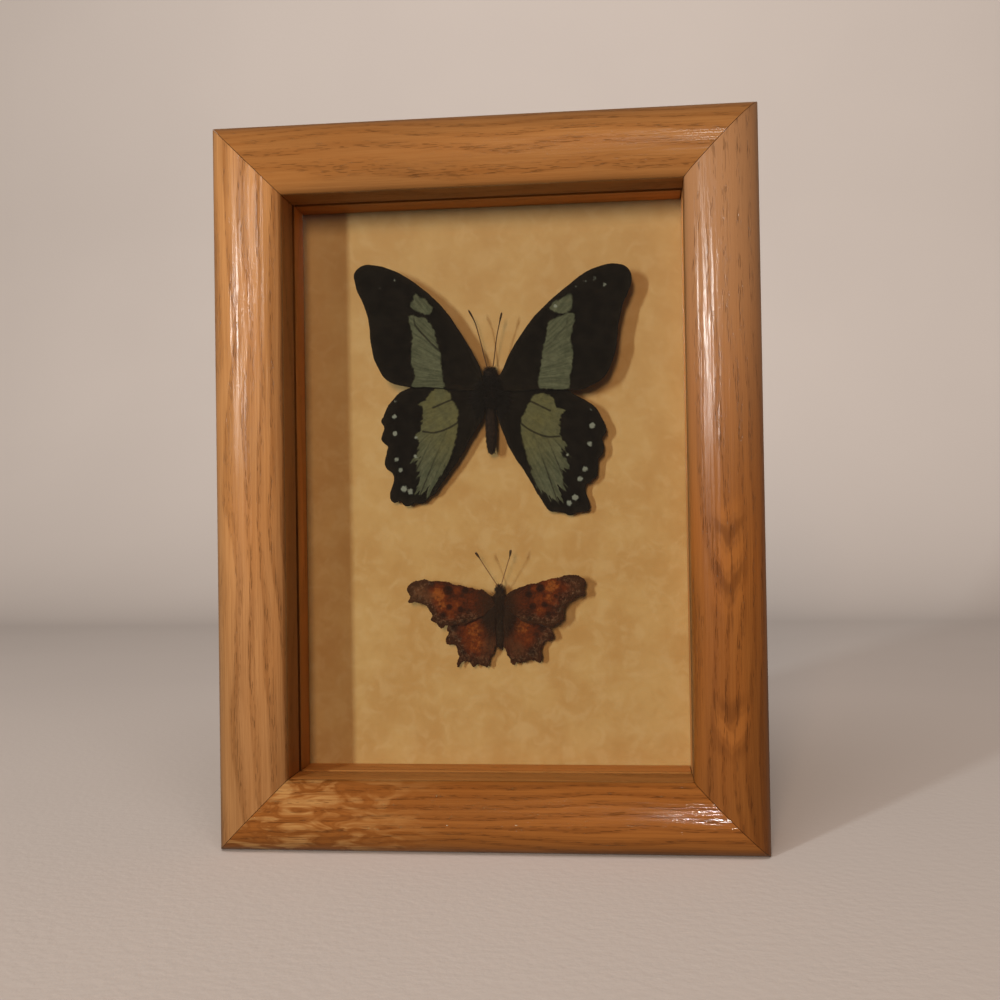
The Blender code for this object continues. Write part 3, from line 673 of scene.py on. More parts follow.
# Large swallowtail. Outlines, pale green areas and veins.
LARGE = {
    "forewing_left": {
        "outline": [
            (-2.0, 1.6), (-2.1, 4.5), (-2.7, 7.4), (-4.8, 12.2), (-8.0, 17.6), (-11.5, 23.0), (-15.2, 27.5),
            (-19.7, 31.6), (-24.0, 34.8), (-28.7, 37.2), (-32.5, 38.4), (-36.2, 38.8), (-38.6, 37.8),
            (-39.6, 36.0), (-39.4, 33.9), (-38.7, 31.2), (-37.8, 29.2), (-37.0, 27.4), (-36.1, 25.0),
            (-35.5, 22.6), (-35.1, 19.9), (-35.1, 17.4), (-34.7, 14.9), (-34.2, 11.9), (-33.2, 9.2),
            (-32.1, 7.1), (-30.4, 4.9), (-28.6, 3.7), (-26.4, 3.1), (-23.2, 2.5), (-15.3, 2.2), (-8, 1.2),
        ],
        "bands": [
            [(-21.4, 29.7), (-19.8, 28.5), (-18.5, 28.1), (-17.3, 26.7), (-16.3, 25.2), (-18.3, 23.7),
             (-20.1, 24.3), (-22.6, 25.6), (-22.3, 27.8)],
            [(-23.1, 23.2), (-20.5, 23.0), (-18.6, 22.5), (-17.1, 20.6), (-15.8, 18.0), (-15.5, 15.2),
             (-14.5, 12.8), (-14.1, 9.0), (-13.8, 5.1), (-13.6, 2.0), (-18, 1.8), (-22.8, 2.6),
             (-21.9, 4.9), (-22.3, 7.6), (-22.9, 9.4), (-22.8, 13.2), (-22.6, 17.9), (-23.2, 20.6)],
        ],
        "spots": [(-27.6, 33.8, 0.8, 0.18), (-31.7, 32.1, 0.7, 0.15), (-24.8, 30.8, 0.6, 0.12)],
    },
    "forewing_right": {
        "outline": [
            (2.0, 1.2), (2.1, 3.6), (3.9, 7.0), (6.0, 11.6), (9.3, 16.7), (13.2, 21.9), (18.0, 26.6),
            (23.0, 30.5), (27.7, 33.9), (31.8, 35.8), (35.8, 36.6), (39.4, 36.0), (41.3, 34.1),
            (41.7, 31.9), (41.0, 29.2), (40.1, 27.0), (39.2, 25.2), (38.5, 22.4), (37.9, 19.8),
            (37.5, 16.8), (37.1, 13.0), (36.2, 9.6), (35.2, 7.0), (33.4, 4.0), (30.2, 1.8), (26.6, 0.4),
            (23.4, 0.4), (14.7, 0.9), (8, 0.6),
        ],
        "bands": [
            [(24.2, 28.2), (22.0, 27.3), (19.3, 26.1), (18.0, 24.3), (19.5, 23.2), (21.6, 22.7),
             (23.6, 23.3), (24.5, 25.2)],
            [(24.8, 22.6), (22.4, 22.4), (20.0, 21.6), (17.6, 20.2), (16.8, 16.6), (15.9, 12.8),
             (15.0, 7.5), (14.4, 1.8), (18, 1.0), (23.0, 1.0), (23.4, 4.3), (24.2, 7.7), (24.4, 11.3),
             (23.9, 15.7), (24.8, 19.1)],
        ],
        "spots": [(33.9, 30.5, 0.8, 0.35), (31.0, 32.4, 0.8, 0.3), (28.2, 31.8, 0.7, 0.25),
                  (19.6, 24.9, 0.7, 0.6), (25.6, 30.3, 0.7, 0.15)],
    },
    "hindwing_left": {
        "outline": [
            (-2.6, 1.6), (-8, 4.6), (-15, 5.4), (-21, 3.9), (-24.5, 2.3), (-26.9, 1.0), (-28.9, -0.8),
            (-30.9, -3.4), (-31.9, -5.6), (-32.6, -7.2), (-31.8, -9.0), (-32.4, -10.9), (-32.7, -12.7),
            (-31.8, -13.8), (-30.8, -14.8), (-31.3, -17.1), (-32.0, -19.5), (-31.2, -21.3),
            (-29.7, -22.5), (-29.2, -24.4), (-29.8, -26.3), (-30.6, -28.2), (-30.5, -30.2),
            (-29.4, -31.3), (-27.4, -30.9), (-26.2, -32.2), (-24.5, -32.2), (-22.8, -31.4),
            (-20.5, -31.4), (-18.4, -29.6), (-16.9, -28.7), (-14.0, -24.7), (-10.1, -19.5),
            (-7.0, -14.4), (-4.2, -9.9), (-2.5, -6.8), (-2.0, -2.5),
        ],
        "bands": [
            [(-17.7, 0.9), (-14.7, 2.1), (-11.9, 0.7), (-11.3, -1.3), (-9.9, -4.2), (-9.7, -7.5),
             (-9.9, -10.4), (-10.9, -14.0), (-12.4, -18.0), (-15.0, -22.3), (-16.9, -26.2),
             (-19.6, -29.3), (-22.4, -28.2), (-22.0, -25.0), (-21.6, -22.2), (-22.7, -18.7),
             (-21.4, -16.9), (-21.7, -13.8), (-22.1, -11.6), (-20.9, -10.4), (-20.5, -7.2),
             (-19.8, -4.3), (-21.1, -2.2), (-19.4, -1.4)],
        ],
        "spots": [(-28.3, -1.3, 0.75, 0.22), (-28.6, -5.8, 0.9, 0.5), (-28.6, -10.8, 0.95, 0.6),
                  (-28.3, -18.5, 0.9, 0.45), (-27.2, -21.6, 0.9, 0.5), (-26.3, -27.2, 1.25, 0.55),
                  (-24.4, -28.0, 1.1, 0.5), (-22.3, -12.2, 0.7, 0.4), (-22.6, -17.7, 0.9, 0.4)],
    },
    "hindwing_right": {
        "outline": [
            (2.6, 1.2), (8, 3.9), (14.6, 4.6), (19, 2.9), (23.3, 0.2), (26.7, -1.9), (30.2, -4.1),
            (32.1, -6.8), (33.3, -9.7), (33.6, -11.7), (32.4, -13.6), (32.9, -15.8), (32.5, -17.9),
            (31.1, -19.5), (31.1, -21.9), (30.6, -24.4), (28.9, -26.1), (27.4, -27.0), (27.3, -29.0),
            (28.2, -31.4), (28.4, -33.4), (27.6, -34.8), (24.9, -34.9), (22.6, -35.9), (20.1, -34.8),
            (17.0, -34.6), (15.3, -32.8), (13.0, -28.8), (10.8, -24.8), (8.5, -21.0), (5.5, -16.3),
            (3.1, -10.1), (2.1, -6.9), (2.0, -2.5),
        ],
        "bands": [
            [(12.7, -0.6), (15.4, -0.2), (18.4, -1.5), (19.2, -3.8), (21.9, -5.3), (20.5, -6.6),
             (20.2, -9.9), (20.4, -12.5), (21.5, -14.8), (20.9, -17.2), (22.2, -21.8), (20.4, -23.0),
             (20.7, -29.8), (17.6, -32.3), (15.4, -30.3), (13.1, -26.4), (10.9, -19.4), (9.2, -13.8),
             (8.8, -8.5), (10.2, -5.0), (11.5, -2.6)],
        ],
        "spots": [(29.3, -5.2, 0.7, 0.2), (29.5, -9.8, 1.05, 0.6), (28.8, -15.1, 0.95, 0.5),
                  (27.2, -22.4, 1.0, 0.55), (25.7, -25.2, 1.0, 0.5), (24.2, -30.6, 1.1, 0.65),
                  (22.4, -32.2, 1.0, 0.55), (22.3, -18.1, 0.7, 0.4)],
    },
}
FORE_MARKS = [(-2.2, 3.5), (-37.5, 38.2), (-28, 3.3)], [(2.2, 3.5), (39.5, 36), (31, 1.5)]
HIND_MARKS = [(-3, 0), (-31.9, -6), (-25, -32)], [(3, 0), (33, -9.5), (22.5, -35.5)]
FORE_VEINS = [
    [(-2.3, 5), (-8, 14), (-14, 21.8), (-19.5, 27.6), (-28, 34), (-35, 38)],
    [(-19.5, 27.6), (-30, 32.5), (-39, 36)],
    [(-21, 26.4), (-30, 30), (-38.8, 32)],
    [(-21.8, 25), (-30, 27.8), (-37.2, 28.5)],
    [(-22.2, 23), (-30, 24.4), (-36, 25)],
    [(-21.7, 20.7), (-28, 20.6), (-35.3, 20.6)],
    [(-18, 16.3), (-26, 15), (-34.6, 15.6)],
    [(-12, 11), (-22, 9.2), (-33.6, 10.4)],
    [(-2.3, 3), (-12, 4.2), (-24, 5), (-31.5, 6.4)],
]
FORE_CELL = [
    [(-2.3, 3.8), (-9, 8.6), (-15.1, 13.4), (-19, 17.4), (-21.7, 20.7)],
    [(-19.5, 27.6), (-22, 24.5), (-21.7, 20.7)],
]
HIND_VEINS = [
    [(-3, -0.5), (-10, 2.4), (-18, 2.6), (-25, 0.2), (-31.5, -5)],
    [(-17, -3.5), (-24, -5.5), (-31.7, -9)],
    [(-19.5, -7), (-25, -10), (-30.8, -14.6)],
    [(-18, -10.6), (-24, -16.5), (-29.4, -22.8)],
    [(-16.7, -10.8), (-21, -19), (-27.2, -30.6)],
    [(-12.8, -9.7), (-17.5, -20), (-22.4, -31)],
    [(-3, -2), (-6.5, -8), (-11, -18), (-18, -29)],
]
HIND_CELL = [
    [(-3, -1.5), (-7, -5.4), (-9.8, -8), (-12.8, -9.7), (-16.7, -10.8), (-20.2, -10.4)],
    [(-3, -0.8), (-10, -1), (-17, -3.5)],
]


def large_scales():
    """Black scales with pale sage areas, dark veins and small pale marks."""
    s = Shader("swallowtail_scales")
    place = s.millimetres()
    fan = s.node("Attribute", attribute_name="fan").outputs["Vector"]
    angle, radius, reach = s.separate(fan)
    streaks = s.noise(s.combine(s.times(angle, 1.6), s.times(radius, 0.1), reach), 1.0, 3.0, 0.6)
    fine = s.noise(s.combine(s.times(angle, 3.6), s.times(radius, 0.35), reach), 1.0, 2.0)
    specks = s.noise(place, 5.0, 2.0)
    cloud = s.noise(place, 0.35, 3.0)
    wobble = s.times(s.add(s.noise(place, 0.8, 3.0, 0.6), -0.5), 1.6)
    comb = s.times(s.add(streaks, -0.5), s.add(s.times(s.field("comb"), 9.0), 1.1))
    band = s.add(s.field("band"), s.add(wobble, comb))
    green = s.step(band, 0.28, -0.32)
    cell = s.step(s.add(s.field("cell"), s.times(wobble, 0.12)), 0.42, 0.14)
    vein = s.step(s.field("vein"), 0.34, 0.06)
    black = s.blend(s.step(cloud, 0.35, 0.7), (0.0030, 0.0023, 0.0014), (0.0068, 0.0052, 0.0034))
    black = s.blend(s.times(s.step(fine, 0.5, 0.75), 0.3), black, (0.0115, 0.0085, 0.0055))
    black = s.blend(s.times(s.field("dusting"), s.step(specks, 0.42, 0.7)), black, (0.024, 0.016, 0.009))
    sage = s.blend(s.step(streaks, 0.3, 0.7), (0.05, 0.055, 0.03), (0.094, 0.098, 0.056))
    sage = s.blend(s.times(s.step(specks, 0.5, 0.7), 0.3), sage, (0.115, 0.12, 0.08))
    sage = s.blend(s.times(s.field("olive"), s.add(s.times(cloud, 0.8), 0.3)), sage, (0.098, 0.088, 0.033))
    sage = s.tint(sage, s.add(s.times(s.noise(place, 0.7, 4.0, 0.65), 1.1), 0.45))
    lines = s.math("MAXIMUM", s.times(cell, s.field("barred")), s.times(vein, s.field("inked")))
    sage = s.blend(lines, sage, (0.010, 0.008, 0.0055))
    colour = s.blend(green, black, sage)
    spot = s.add(s.field("spots"), s.times(s.add(s.noise(place, 1.8, 2.0), -0.5), 0.9))
    spot = s.both(s.step(s.field("spots"), 0.0, 0.15), s.step(spot, 0.12, 0.5))
    colour = s.blend(s.times(spot, 0.72), colour, (0.25, 0.27, 0.215))
    s.set(
        Base_Color=colour,
        Roughness=s.add(s.times(specks, 0.25), 0.5),
        Specular_IOR_Level=0.14,
        Sheen_Weight=0.02,
        Sheen_Roughness=0.4,
    )
    height = s.add(s.times(specks, 0.5), s.add(s.times(vein, 0.9), s.times(fine, 0.7)))
    s.bump(height, 0.02, 0.5)
    return s.material


def build_large():
    rng = np.random.default_rng(5)
    place = insect_place("swallowtail_body", 7.8)
    material = large_scales()
    for part, shape in LARGE.items():
        fore = part.startswith("fore")
        left = part.endswith("left")
        flat, faces, loop = wing_mesh(shape["outline"], 0.36, 0.06 if fore else 0.1, rng)
        marks = FORE_MARKS if fore else HIND_MARKS
        veins, cell = (FORE_VEINS, FORE_CELL) if fore else (HIND_VEINS, HIND_CELL)
        if not left:
            veins = [carry(line, *marks) for line in veins]
            cell = [carry(line, *marks) for line in cell]
        smooth = [even(curve_through(line, 10), 0.5, closed=False) for line in veins + cell]
        every = np.min([distance(flat, line) for line in smooth], 0)
        main = np.min([distance(flat, line) for line in smooth[len(veins):]], 0)
        bands = [even(curve_through(band, 10, closed=True), 0.3) for band in shape["bands"]]
        band = np.min([signed_distance(flat, line) for line in bands], 0)
        edge = distance(flat, loop, closed=True)
        fans, radius = fan_of(flat, marks[0 if left else 1][0])
        relief = 0.22 * (1 - ramp(every, 0, 2.6)) - 0.12 + 0.25 * np.sin(radius / 14 + (0 if fore else 1))
        relief += 0.16 * ramp(edge, 3.0, 0.0) * np.sin(fans[:, 0] * 1.7)
        fields = {
            "band": band,
            "cell": main,
            "vein": every,
            "spots": dots(flat, [(x, y, r * 0.85, k * 1.15) for x, y, r, k in shape["spots"]]),
            "comb": np.zeros(len(flat)) if fore else ramp(radius, 16, 33) * ramp(band, -3.4, -0.6),
            "inked": np.full(len(flat), 0.12) if fore else 0.2 + 0.6 * ramp(radius, 18, 30),
            "barred": 0.75 * ramp(radius, 29, 26) * (1 if left else 0.4) if fore else np.full(len(flat), 0.8),
            "olive": np.zeros(len(flat)) if fore else ramp(radius, 30, 14),
            "dusting": ramp(edge, 2.5, 0.0) * 0.6 + 0.35 * ramp(radius, 16, 4),
        }
        height, pitch, rise = (6.3, 0, 2) if fore else (5.1, 3.5, 0)
        wing(f"swallowtail_{part}", "swallowtail_wing", material, place, height, pitch, rise,
             flat, faces, relief, fields, fans)
    return place


# Small comma butterfly. Dark spots and orange patches are x, y, radius and strength.
SMALL = {
    "forewing_left": {
        "outline": [
            (-1.7, 1.6), (-1.7, 4.0), (-3.8, 5.9), (-5.6, 6.8), (-8.6, 7.4), (-11.5, 8.1), (-14.5, 8.8),
            (-17.4, 9.3), (-20.4, 9.5), (-22.5, 9.8), (-24.0, 9.7), (-25.5, 9.2), (-26.7, 8.4),
            (-27.1, 7.4), (-26.8, 6.2), (-26.5, 4.7), (-26.8, 3.4), (-25.9, 3.1), (-24.7, 3.4),
            (-23.5, 3.1), (-22.3, 2.4), (-21.1, 1.5), (-20.4, 0.5), (-19.8, -0.9), (-20.1, -2.1),
            (-19.4, -2.8), (-18.5, -3.1), (-17.6, -4.0), (-16.7, -4.2), (-15.6, -3.6), (-12, -3.6),
            (-8, -2.6),
        ],
        "margin": [(-22.5, 9.8), (-26.7, 8.4), (-26.8, 3.4), (-23.5, 3.1), (-20.4, 0.5), (-20.1, -2.1),
                   (-17.6, -4.0), (-12.5, -3.7), (-8, -2.6)],
        "dark": [(-15.0, 6.6, 1.7, 1), (-9.8, 6.6, 1.2, 0.9), (-11.3, 1.0, 1.15, 1), (-14.6, 1.8, 1.0, 1),
                 (-16.4, -0.6, 1.3, 0.8), (-10.2, -2.2, 1.1, 0.7), (-12.4, 4.2, 0.8, 0.5),
                 (-19.9, 8.8, 1.5, 0.6), (-13.2, -2.8, 1.1, 0.6)],
        "orange": [(-17.9, 5.4, 2.6, 1), (-16.9, 2.4, 2.0, 0.85), (-12.4, 6.6, 1.3, 0.6),
                   (-12.8, 2.4, 2.2, 0.65), (-14.2, -0.6, 1.6, 0.6), (-8.4, 3.6, 2.4, 0.25)],
        "worn": [(-24.2, 7.0, 3.4, 0.9), (-20.8, 4.8, 2.0, 0.75), (-24.6, 4.6, 2.4, 0.7)],
    },
    "forewing_right": {
        "outline": [
            (1.7, 1.6), (1.7, 4.2), (3.2, 5.9), (5.0, 6.8), (7.3, 7.6), (9.7, 8.3), (12.0, 8.9),
            (14.1, 9.5), (16.4, 10.0), (18.7, 10.4), (21.1, 10.7), (23.1, 10.6), (24.5, 10.0),
            (25.3, 8.8), (25.0, 7.4), (25.1, 5.8), (24.5, 4.7), (23.0, 4.5), (21.5, 3.8), (20.1, 2.8),
            (19.2, 1.6), (18.8, 0.0), (18.8, -1.7), (17.9, -3.0), (16.5, -3.8), (14.7, -4.3), (11, -3.4),
            (7, -2.6),
        ],
        "margin": [(20.5, 10.6), (24.5, 10.0), (25.0, 5.8), (21.5, 3.8), (19.2, 1.6), (18.8, -1.7),
                   (15.5, -4.2), (11, -3.5), (7, -2.6)],
        "dark": [(8.7, 5.2, 1.2, 1), (9.9, 1.8, 1.2, 1), (13.3, 2.3, 1.05, 1), (12.2, 7.0, 1.4, 1),
                 (16.4, 4.6, 0.9, 0.7), (8.9, -1.7, 1.1, 0.7), (14.3, -0.6, 1.3, 0.8), (17.2, 9.6, 1.0, 0.5),
                 (11.3, 4.2, 0.7, 0.4), (17.3, 1.0, 1.2, 0.6)],
        "orange": [(15.4, 7.6, 2.5, 1), (14.9, 4.2, 1.9, 0.75), (11.4, 3.6, 2.1, 0.6), (19.2, 7.2, 1.2, 0.5),
                   (12.2, 0.6, 1.8, 0.6), (6.6, 3.4, 2.2, 0.3), (10.4, 6.9, 1.0, 0.6), (16.6, 2.6, 1.0, 0.5)],
        "worn": [(22.6, 7.2, 2.6, 0.35)],
    },
    "hindwing_left": {
        "outline": [
            (-1.7, 0.6), (-5, 1.4), (-11, 0.4), (-15.0, -3.4), (-15.6, -5.1), (-15.2, -6.0), (-15.8, -7.2),
            (-16.3, -8.6), (-15.6, -9.3), (-14.4, -9.2), (-13.2, -9.6), (-12.7, -11.1), (-12.4, -12.9),
            (-12.7, -14.3), (-12.9, -16.0), (-12.3, -16.4), (-11.8, -15.2), (-11.1, -14.5),
            (-10.1, -14.4), (-9.0, -14.6), (-8.5, -15.5), (-8.0, -16.3), (-7.4, -15.8), (-6.8, -15.0),
            (-5.6, -15.4), (-4.5, -16.0), (-3.6, -15.6), (-3.1, -14.1), (-2.5, -12.5), (-1.8, -11.0),
            (-1.2, -9.2), (-1.0, -5),
        ],
        "margin": [(-15.6, -5.1), (-16.3, -8.6), (-13.2, -9.6), (-12.4, -12.9), (-12.7, -16),
                   (-10.1, -14.4), (-8.0, -16.3), (-6.8, -15.0), (-4.5, -16.0)],
        "dark": [(-10.9, -2.2, 1.5, 0.9), (-13.6, -4.4, 1.5, 0.8), (-12.0, -7.6, 1.0, 0.6),
                 (-10.8, -11.6, 1.2, 0.7), (-8.0, -12.4, 1.1, 0.5), (-13.2, -7.2, 0.9, 0.5)],
        "orange": [(-7.6, -5.2, 3.4, 0.8), (-7.2, -9.4, 3.0, 0.75), (-9.8, -8.0, 2.2, 0.5)],
        "worn": [(-3.2, -9.8, 2.8, 0.55), (-4.6, -13.6, 2.0, 0.35), (-13.6, -6.2, 0.7, 0.8)],
    },
    "hindwing_right": {
        "outline": [
            (1.7, 0.6), (5, 1.4), (10, 0.4), (14.0, -3.2), (14.9, -5.0), (15.7, -6.2), (15.7, -7.4),
            (14.6, -8.2), (13.4, -8.6), (12.5, -9.7), (12.0, -11.2), (12.1, -13.2), (11.8, -14.9),
            (10.9, -14.8), (10.0, -14.1), (8.9, -13.9), (7.7, -14.2), (6.8, -14.8), (5.7, -15.2),
            (5.0, -14.8), (4.1, -15.3), (3.3, -15.0), (2.7, -13.8), (2.1, -12.6), (1.6, -11.1),
            (1.2, -9.6), (1.0, -5),
        ],
        "margin": [(15.7, -6.2), (14.6, -8.2), (12.3, -10), (11.8, -14.9), (8.9, -13.9), (6.8, -14.8),
                   (4.1, -15.3)],
        "dark": [(9.8, -2.0, 1.4, 0.8), (12.6, -4.6, 1.5, 0.7), (9.4, -11.6, 1.8, 0.8),
                 (11.0, -8.2, 1.1, 0.5), (6.2, -13.2, 1.1, 0.5)],
        "orange": [(6.6, -4.2, 3.2, 0.8), (7.4, -7.4, 2.6, 0.6), (4.6, -7.0, 2.0, 0.4)],
        "worn": [(2.8, -8.6, 2.0, 0.4), (5.0, -10.6, 2.6, 0.5), (13.4, -6.6, 0.8, 0.5)],
    },
}


def small_scales():
    """Orange and umber scales with dark spots and a worn grey-brown bloom."""
    s = Shader("comma_scales")
    place = s.millimetres()
    fan = s.node("Attribute", attribute_name="fan").outputs["Vector"]
    angle, radius, reach = s.separate(fan)
    streaks = s.noise(s.combine(s.times(angle, 2.6), s.times(radius, 0.35), reach), 1.0, 3.0, 0.6)
    specks = s.noise(place, 6.0, 2.0)
    patches = s.noise(place, 1.1, 3.0, 0.65)
    shift = s.times(s.add(patches, -0.5), 1.5)
    orange = s.add(s.field("orange"), s.add(shift, s.times(s.add(streaks, -0.5), 0.35)))
    dark = s.step(s.add(s.field("dark"), s.times(shift, 1.3)), 0.3, 0.75)
    base = s.blend(s.step(orange, -0.1, 0.35), (0.026, 0.0085, 0.0034), (0.066, 0.0135, 0.003))
    base = s.blend(s.step(orange, 0.35, 0.75), base, (0.108, 0.0205, 0.003))
    base = s.blend(s.step(orange, 0.75, 1.15), base, (0.21, 0.056, 0.009))
    base = s.blend(s.both(s.field("worn"), s.add(specks, 0.35)), base, (0.105, 0.042, 0.016))
    blotch = s.noise(place, 0.75, 4.0, 0.7, 0.8)
    base = s.blend(s.times(s.step(blotch, 0.5, 0.66), 0.6), base, (0.020, 0.0078, 0.0032))
    base = s.blend(s.field("border"), base, (0.034, 0.0125, 0.0042))
    base = s.blend(s.times(dark, 0.72), base, (0.0075, 0.0036, 0.0018))
    base = s.blend(s.both(s.field("fur"), s.add(s.times(streaks, 1.4), 0.3)), base, (0.03, 0.0115, 0.0042))
    pale = s.both(s.both(s.field("chips"), s.step(specks, 0.46, 0.6)), s.step(patches, 0.47, 0.58))
    base = s.blend(pale, base, (0.2, 0.12, 0.066))
    s.set(
        Base_Color=s.tint(base, s.add(s.times(specks, 0.7), 0.65)),
        Roughness=0.68,
        Specular_IOR_Level=0.12,
        Sheen_Weight=0.03,
        Sheen_Roughness=0.4,
    )
    s.bump(s.add(s.times(specks, 0.6), streaks), 0.06, 0.6)
    return s.material


def build_small():
    rng = np.random.default_rng(8)
    place = insect_place("comma_body", 8.2)
    material = small_scales()
    for part, shape in SMALL.items():
        fore = part.startswith("fore")
        side = -1 if part.endswith("left") else 1
        flat, faces, loop = wing_mesh(shape["outline"], 0.24, 0.2, rng)
        root = (side * 1.6, 2.2 if fore else -0.5)
        fans, radius = fan_of(flat, root)
        edge = distance(flat, loop, closed=True)
        margin = distance(flat, np.array(shape["margin"], float))
        pleats = np.cos(fans[:, 0] * (2.3 if fore else 1.6))
        relief = 0.1 * pleats * ramp(radius, 2, 8) + 0.22 * np.sin(radius / 7 + rng.uniform(0, 1))
        relief += 0.2 * ramp(edge, 1.6, 0.0) * np.sin(fans[:, 0] * 2.9)
        fields = {
            "orange": dots(flat, [(x, y, r * 1.15, k) for x, y, r, k in shape["orange"]]) + 0.12,
            "dark": dots(flat, shape["dark"]),
            "worn": dots(flat, shape["worn"]),
            "border": (0.75 if fore else 0.62) * ramp(margin, 2.5, 0.9),
            "fur": 0.95 * ramp(distance(flat, np.array([(0, 6.0), (0, -3.0)])), 8.5, 2.2),
            "chips": 0.5 * ramp(margin, 4.2, 1.6) * ramp(margin, 0.3, 1.1),
        }
        height, pitch = (4.9, 0) if fore else (3.9, 4)
        wing(f"comma_{part}", "comma_wing", material, place, height, pitch, 0,
             flat, faces, relief, fields, fans)
    return place


def turned_body(profile, rings, segments=8, notch=0.12):
    """A body turned from radius and length pairs, with grooves between its tail segments."""
    line = even(curve_through(profile, 12), 0.14, closed=False)
    radii = np.maximum(line[:, 0], 0.02)
    along = line[:, 1]
    tail, end = rings
    part = (tail - along) / (tail - end) * segments
    groove = np.abs(np.sin(np.pi * part)) ** 0.5
    radii = radii * np.where(along < tail, 1 - notch + notch * groove, 1)
    path = np.stack([np.zeros(len(along)), along, np.zeros(len(along))], 1)
    return tube(path, radii, 28), along, radii


def hairs(roots, directions, lengths, width, droop, rng):
    """Fine tapering hairs as one mesh."""
    count = len(roots)
    directions = directions / np.linalg.norm(directions, axis=1)[:, None]
    across = np.cross(directions, rng.normal(size=(count, 3)))
    across /= np.linalg.norm(across, axis=1)[:, None]
    other = np.cross(directions, across)
    bend = rng.normal(0, 0.18, (count, 3)) + np.array(droop)
    rows = []
    for t, size in ((0.0, 1.0), (0.4, 0.8), (0.75, 0.45)):
        centre = roots + (directions * t + bend * t * t) * lengths[:, None]
        for turn in range(3):
            angle = turn * 2 * math.pi / 3
            rows.append(centre + (across * math.cos(angle) + other * math.sin(angle)) * width * size)
    rows.append(roots + (directions + bend) * lengths[:, None])
    points = np.stack(rows, 1).reshape(-1, 3)
    pattern = []
    for ring in (0, 3):
        for j in range(3):
            k = (j + 1) % 3
            pattern.append((ring + j, ring + k, ring + 3 + k, ring + 3 + j))
    faces = [tuple(index + i * 10 for index in face) for i in range(count) for face in pattern]
    tips = [(6, 7, 9), (7, 8, 9), (8, 6, 9)]
    faces += [tuple(index + i * 10 for index in face) for i in range(count) for face in tips]
    return points, faces


def body_hair(along, radii, low, high, count, length, width, lean, rng):
    """Hairs over a stretch of a turned body, leaning towards the tail."""
    places = rng.uniform(low, high, count)
    radius = np.interp(-places, -along, radii)
    angle = rng.uniform(0, 2 * math.pi, count)
    out = np.stack([np.cos(angle), np.zeros(count), np.sin(angle)], 1)
    roots = out * (radius * 0.96)[:, None]
    roots[:, 1] = places
    directions = out + np.array((0, lean, 0)) + rng.normal(0, 0.3, (count, 3))
    return hairs(roots, directions, length * rng.uniform(0.5, 1.2, count), width, (0, 0.3 * lean, 0), rng)


def wing_base_hair(side, span, low, high, height, count, length, width, rng):
    """Hairs that lie over the roots of the wings and sweep outwards."""
    along = rng.normal(0, 0.4, count).clip(-1.2, 1.2)
    out = np.abs(rng.normal(0, 0.5, count)).clip(0, 1.5) * np.cos(along)
    roots = np.stack([
        side * (span[0] + (span[1] - span[0]) * out),
        (low + high) / 2 + (high - low) / 2 * along,
        np.full(count, height) + rng.uniform(-0.1, 0.25, count),
    ], 1)
    directions = np.stack([
        side * rng.uniform(0.6, 1.2, count),
        (roots[:, 1] - (low + high) / 2) * 0.12 - 0.35 + rng.normal(0, 0.3, count),
        rng.uniform(0.0, 0.28, count),
    ], 1)
    return hairs(roots, directions, length * rng.uniform(0.5, 1.2, count), width, (0, 0, -0.12), rng)


def chitin(name, low, high, shine=0.45):
    s = Shader(name)
    place = s.millimetres()
    cloud = s.noise(place, 1.6, 4.0, 0.6)
    grit = s.noise(place, 9.0, 2.0)
    s.set(
        Base_Color=s.blend(s.step(cloud, 0.35, 0.68), low, high),
        Roughness=s.add(s.times(grit, 0.3), shine),
    )
    s.bump(s.add(cloud, grit), 0.05, 0.6)
    return s.material


def fur(name, low, high):
    s = Shader(name)
    place = s.millimetres()
    strand = s.noise(place, 2.4, 3.0, 0.7)
    s.set(
        Base_Color=s.blend(s.step(strand, 0.35, 0.65), low, high),
        Roughness=0.6,
        Sheen_Weight=0.04,
        Sheen_Roughness=0.35,
    )
    return s.material


def eye_surface():
    s = Shader("compound_eye")
    cells = s.node("TexVoronoi", {"Vector": s.millimetres(), "Scale": 14.0})
    s.set(
        Base_Color=s.blend(cells.outputs["Distance"], (0.03, 0.018, 0.012), (0.008, 0.006, 0.005)),
        Roughness=0.3,
    )
    s.bump(cells.outputs["Distance"], 0.02, 0.5)
    return s.material


def legs(side, scale, z):
    """Three thin legs folded under the thorax."""
    made = []
    for root, knee, foot in (
        ((1.1, 3.2), (2.1, 4.6), (0.9, 6.4)), ((1.2, 1.4), (2.5, 0.2), (1.2, -2.2)),
        ((1.1, 0.0), (2.2, -2.0), (0.9, -4.8)),
    ):
        path = curve_through([
            (side * root[0] * scale, root[1] * scale, z), (side * knee[0] * scale, knee[1] * scale, z * 0.7),
            (side * foot[0] * scale, foot[1] * scale, 0.5),
        ], 8)
        made.append(tube(path, np.linspace(0.2, 0.1, len(path)) * scale, 6))
    return made


def antenna(name, route, width, club, place, material):
    """A ringed thread that thickens to a club. Its field is 0 at the root and 1 at the tip."""
    path = even(curve_through(route, 30), 0.12, closed=False)
    part = np.linspace(0, 1, len(path))
    rings = 1 + 0.12 * np.sin(part * len(path) * 0.12 / 0.34 * 2 * np.pi)
    swell = 1 + (club - 1) * ramp(part, 0.78, 0.93) * ramp(part, 1.03, 0.96)
    radii = width * rings * swell * np.minimum(1, (1 - part) * 30 + 0.25)
    points, faces = tube(path, radii, 8)
    obj = add_mesh(name, points, faces, place @ Matrix.Scale(MM, 4), material)
    heights = np.array([v.co.z for v in obj.data.vertices])
    add_field(obj, "part", (heights - heights.min()) / np.ptp(heights))
    piece(obj, "insect_body", name)


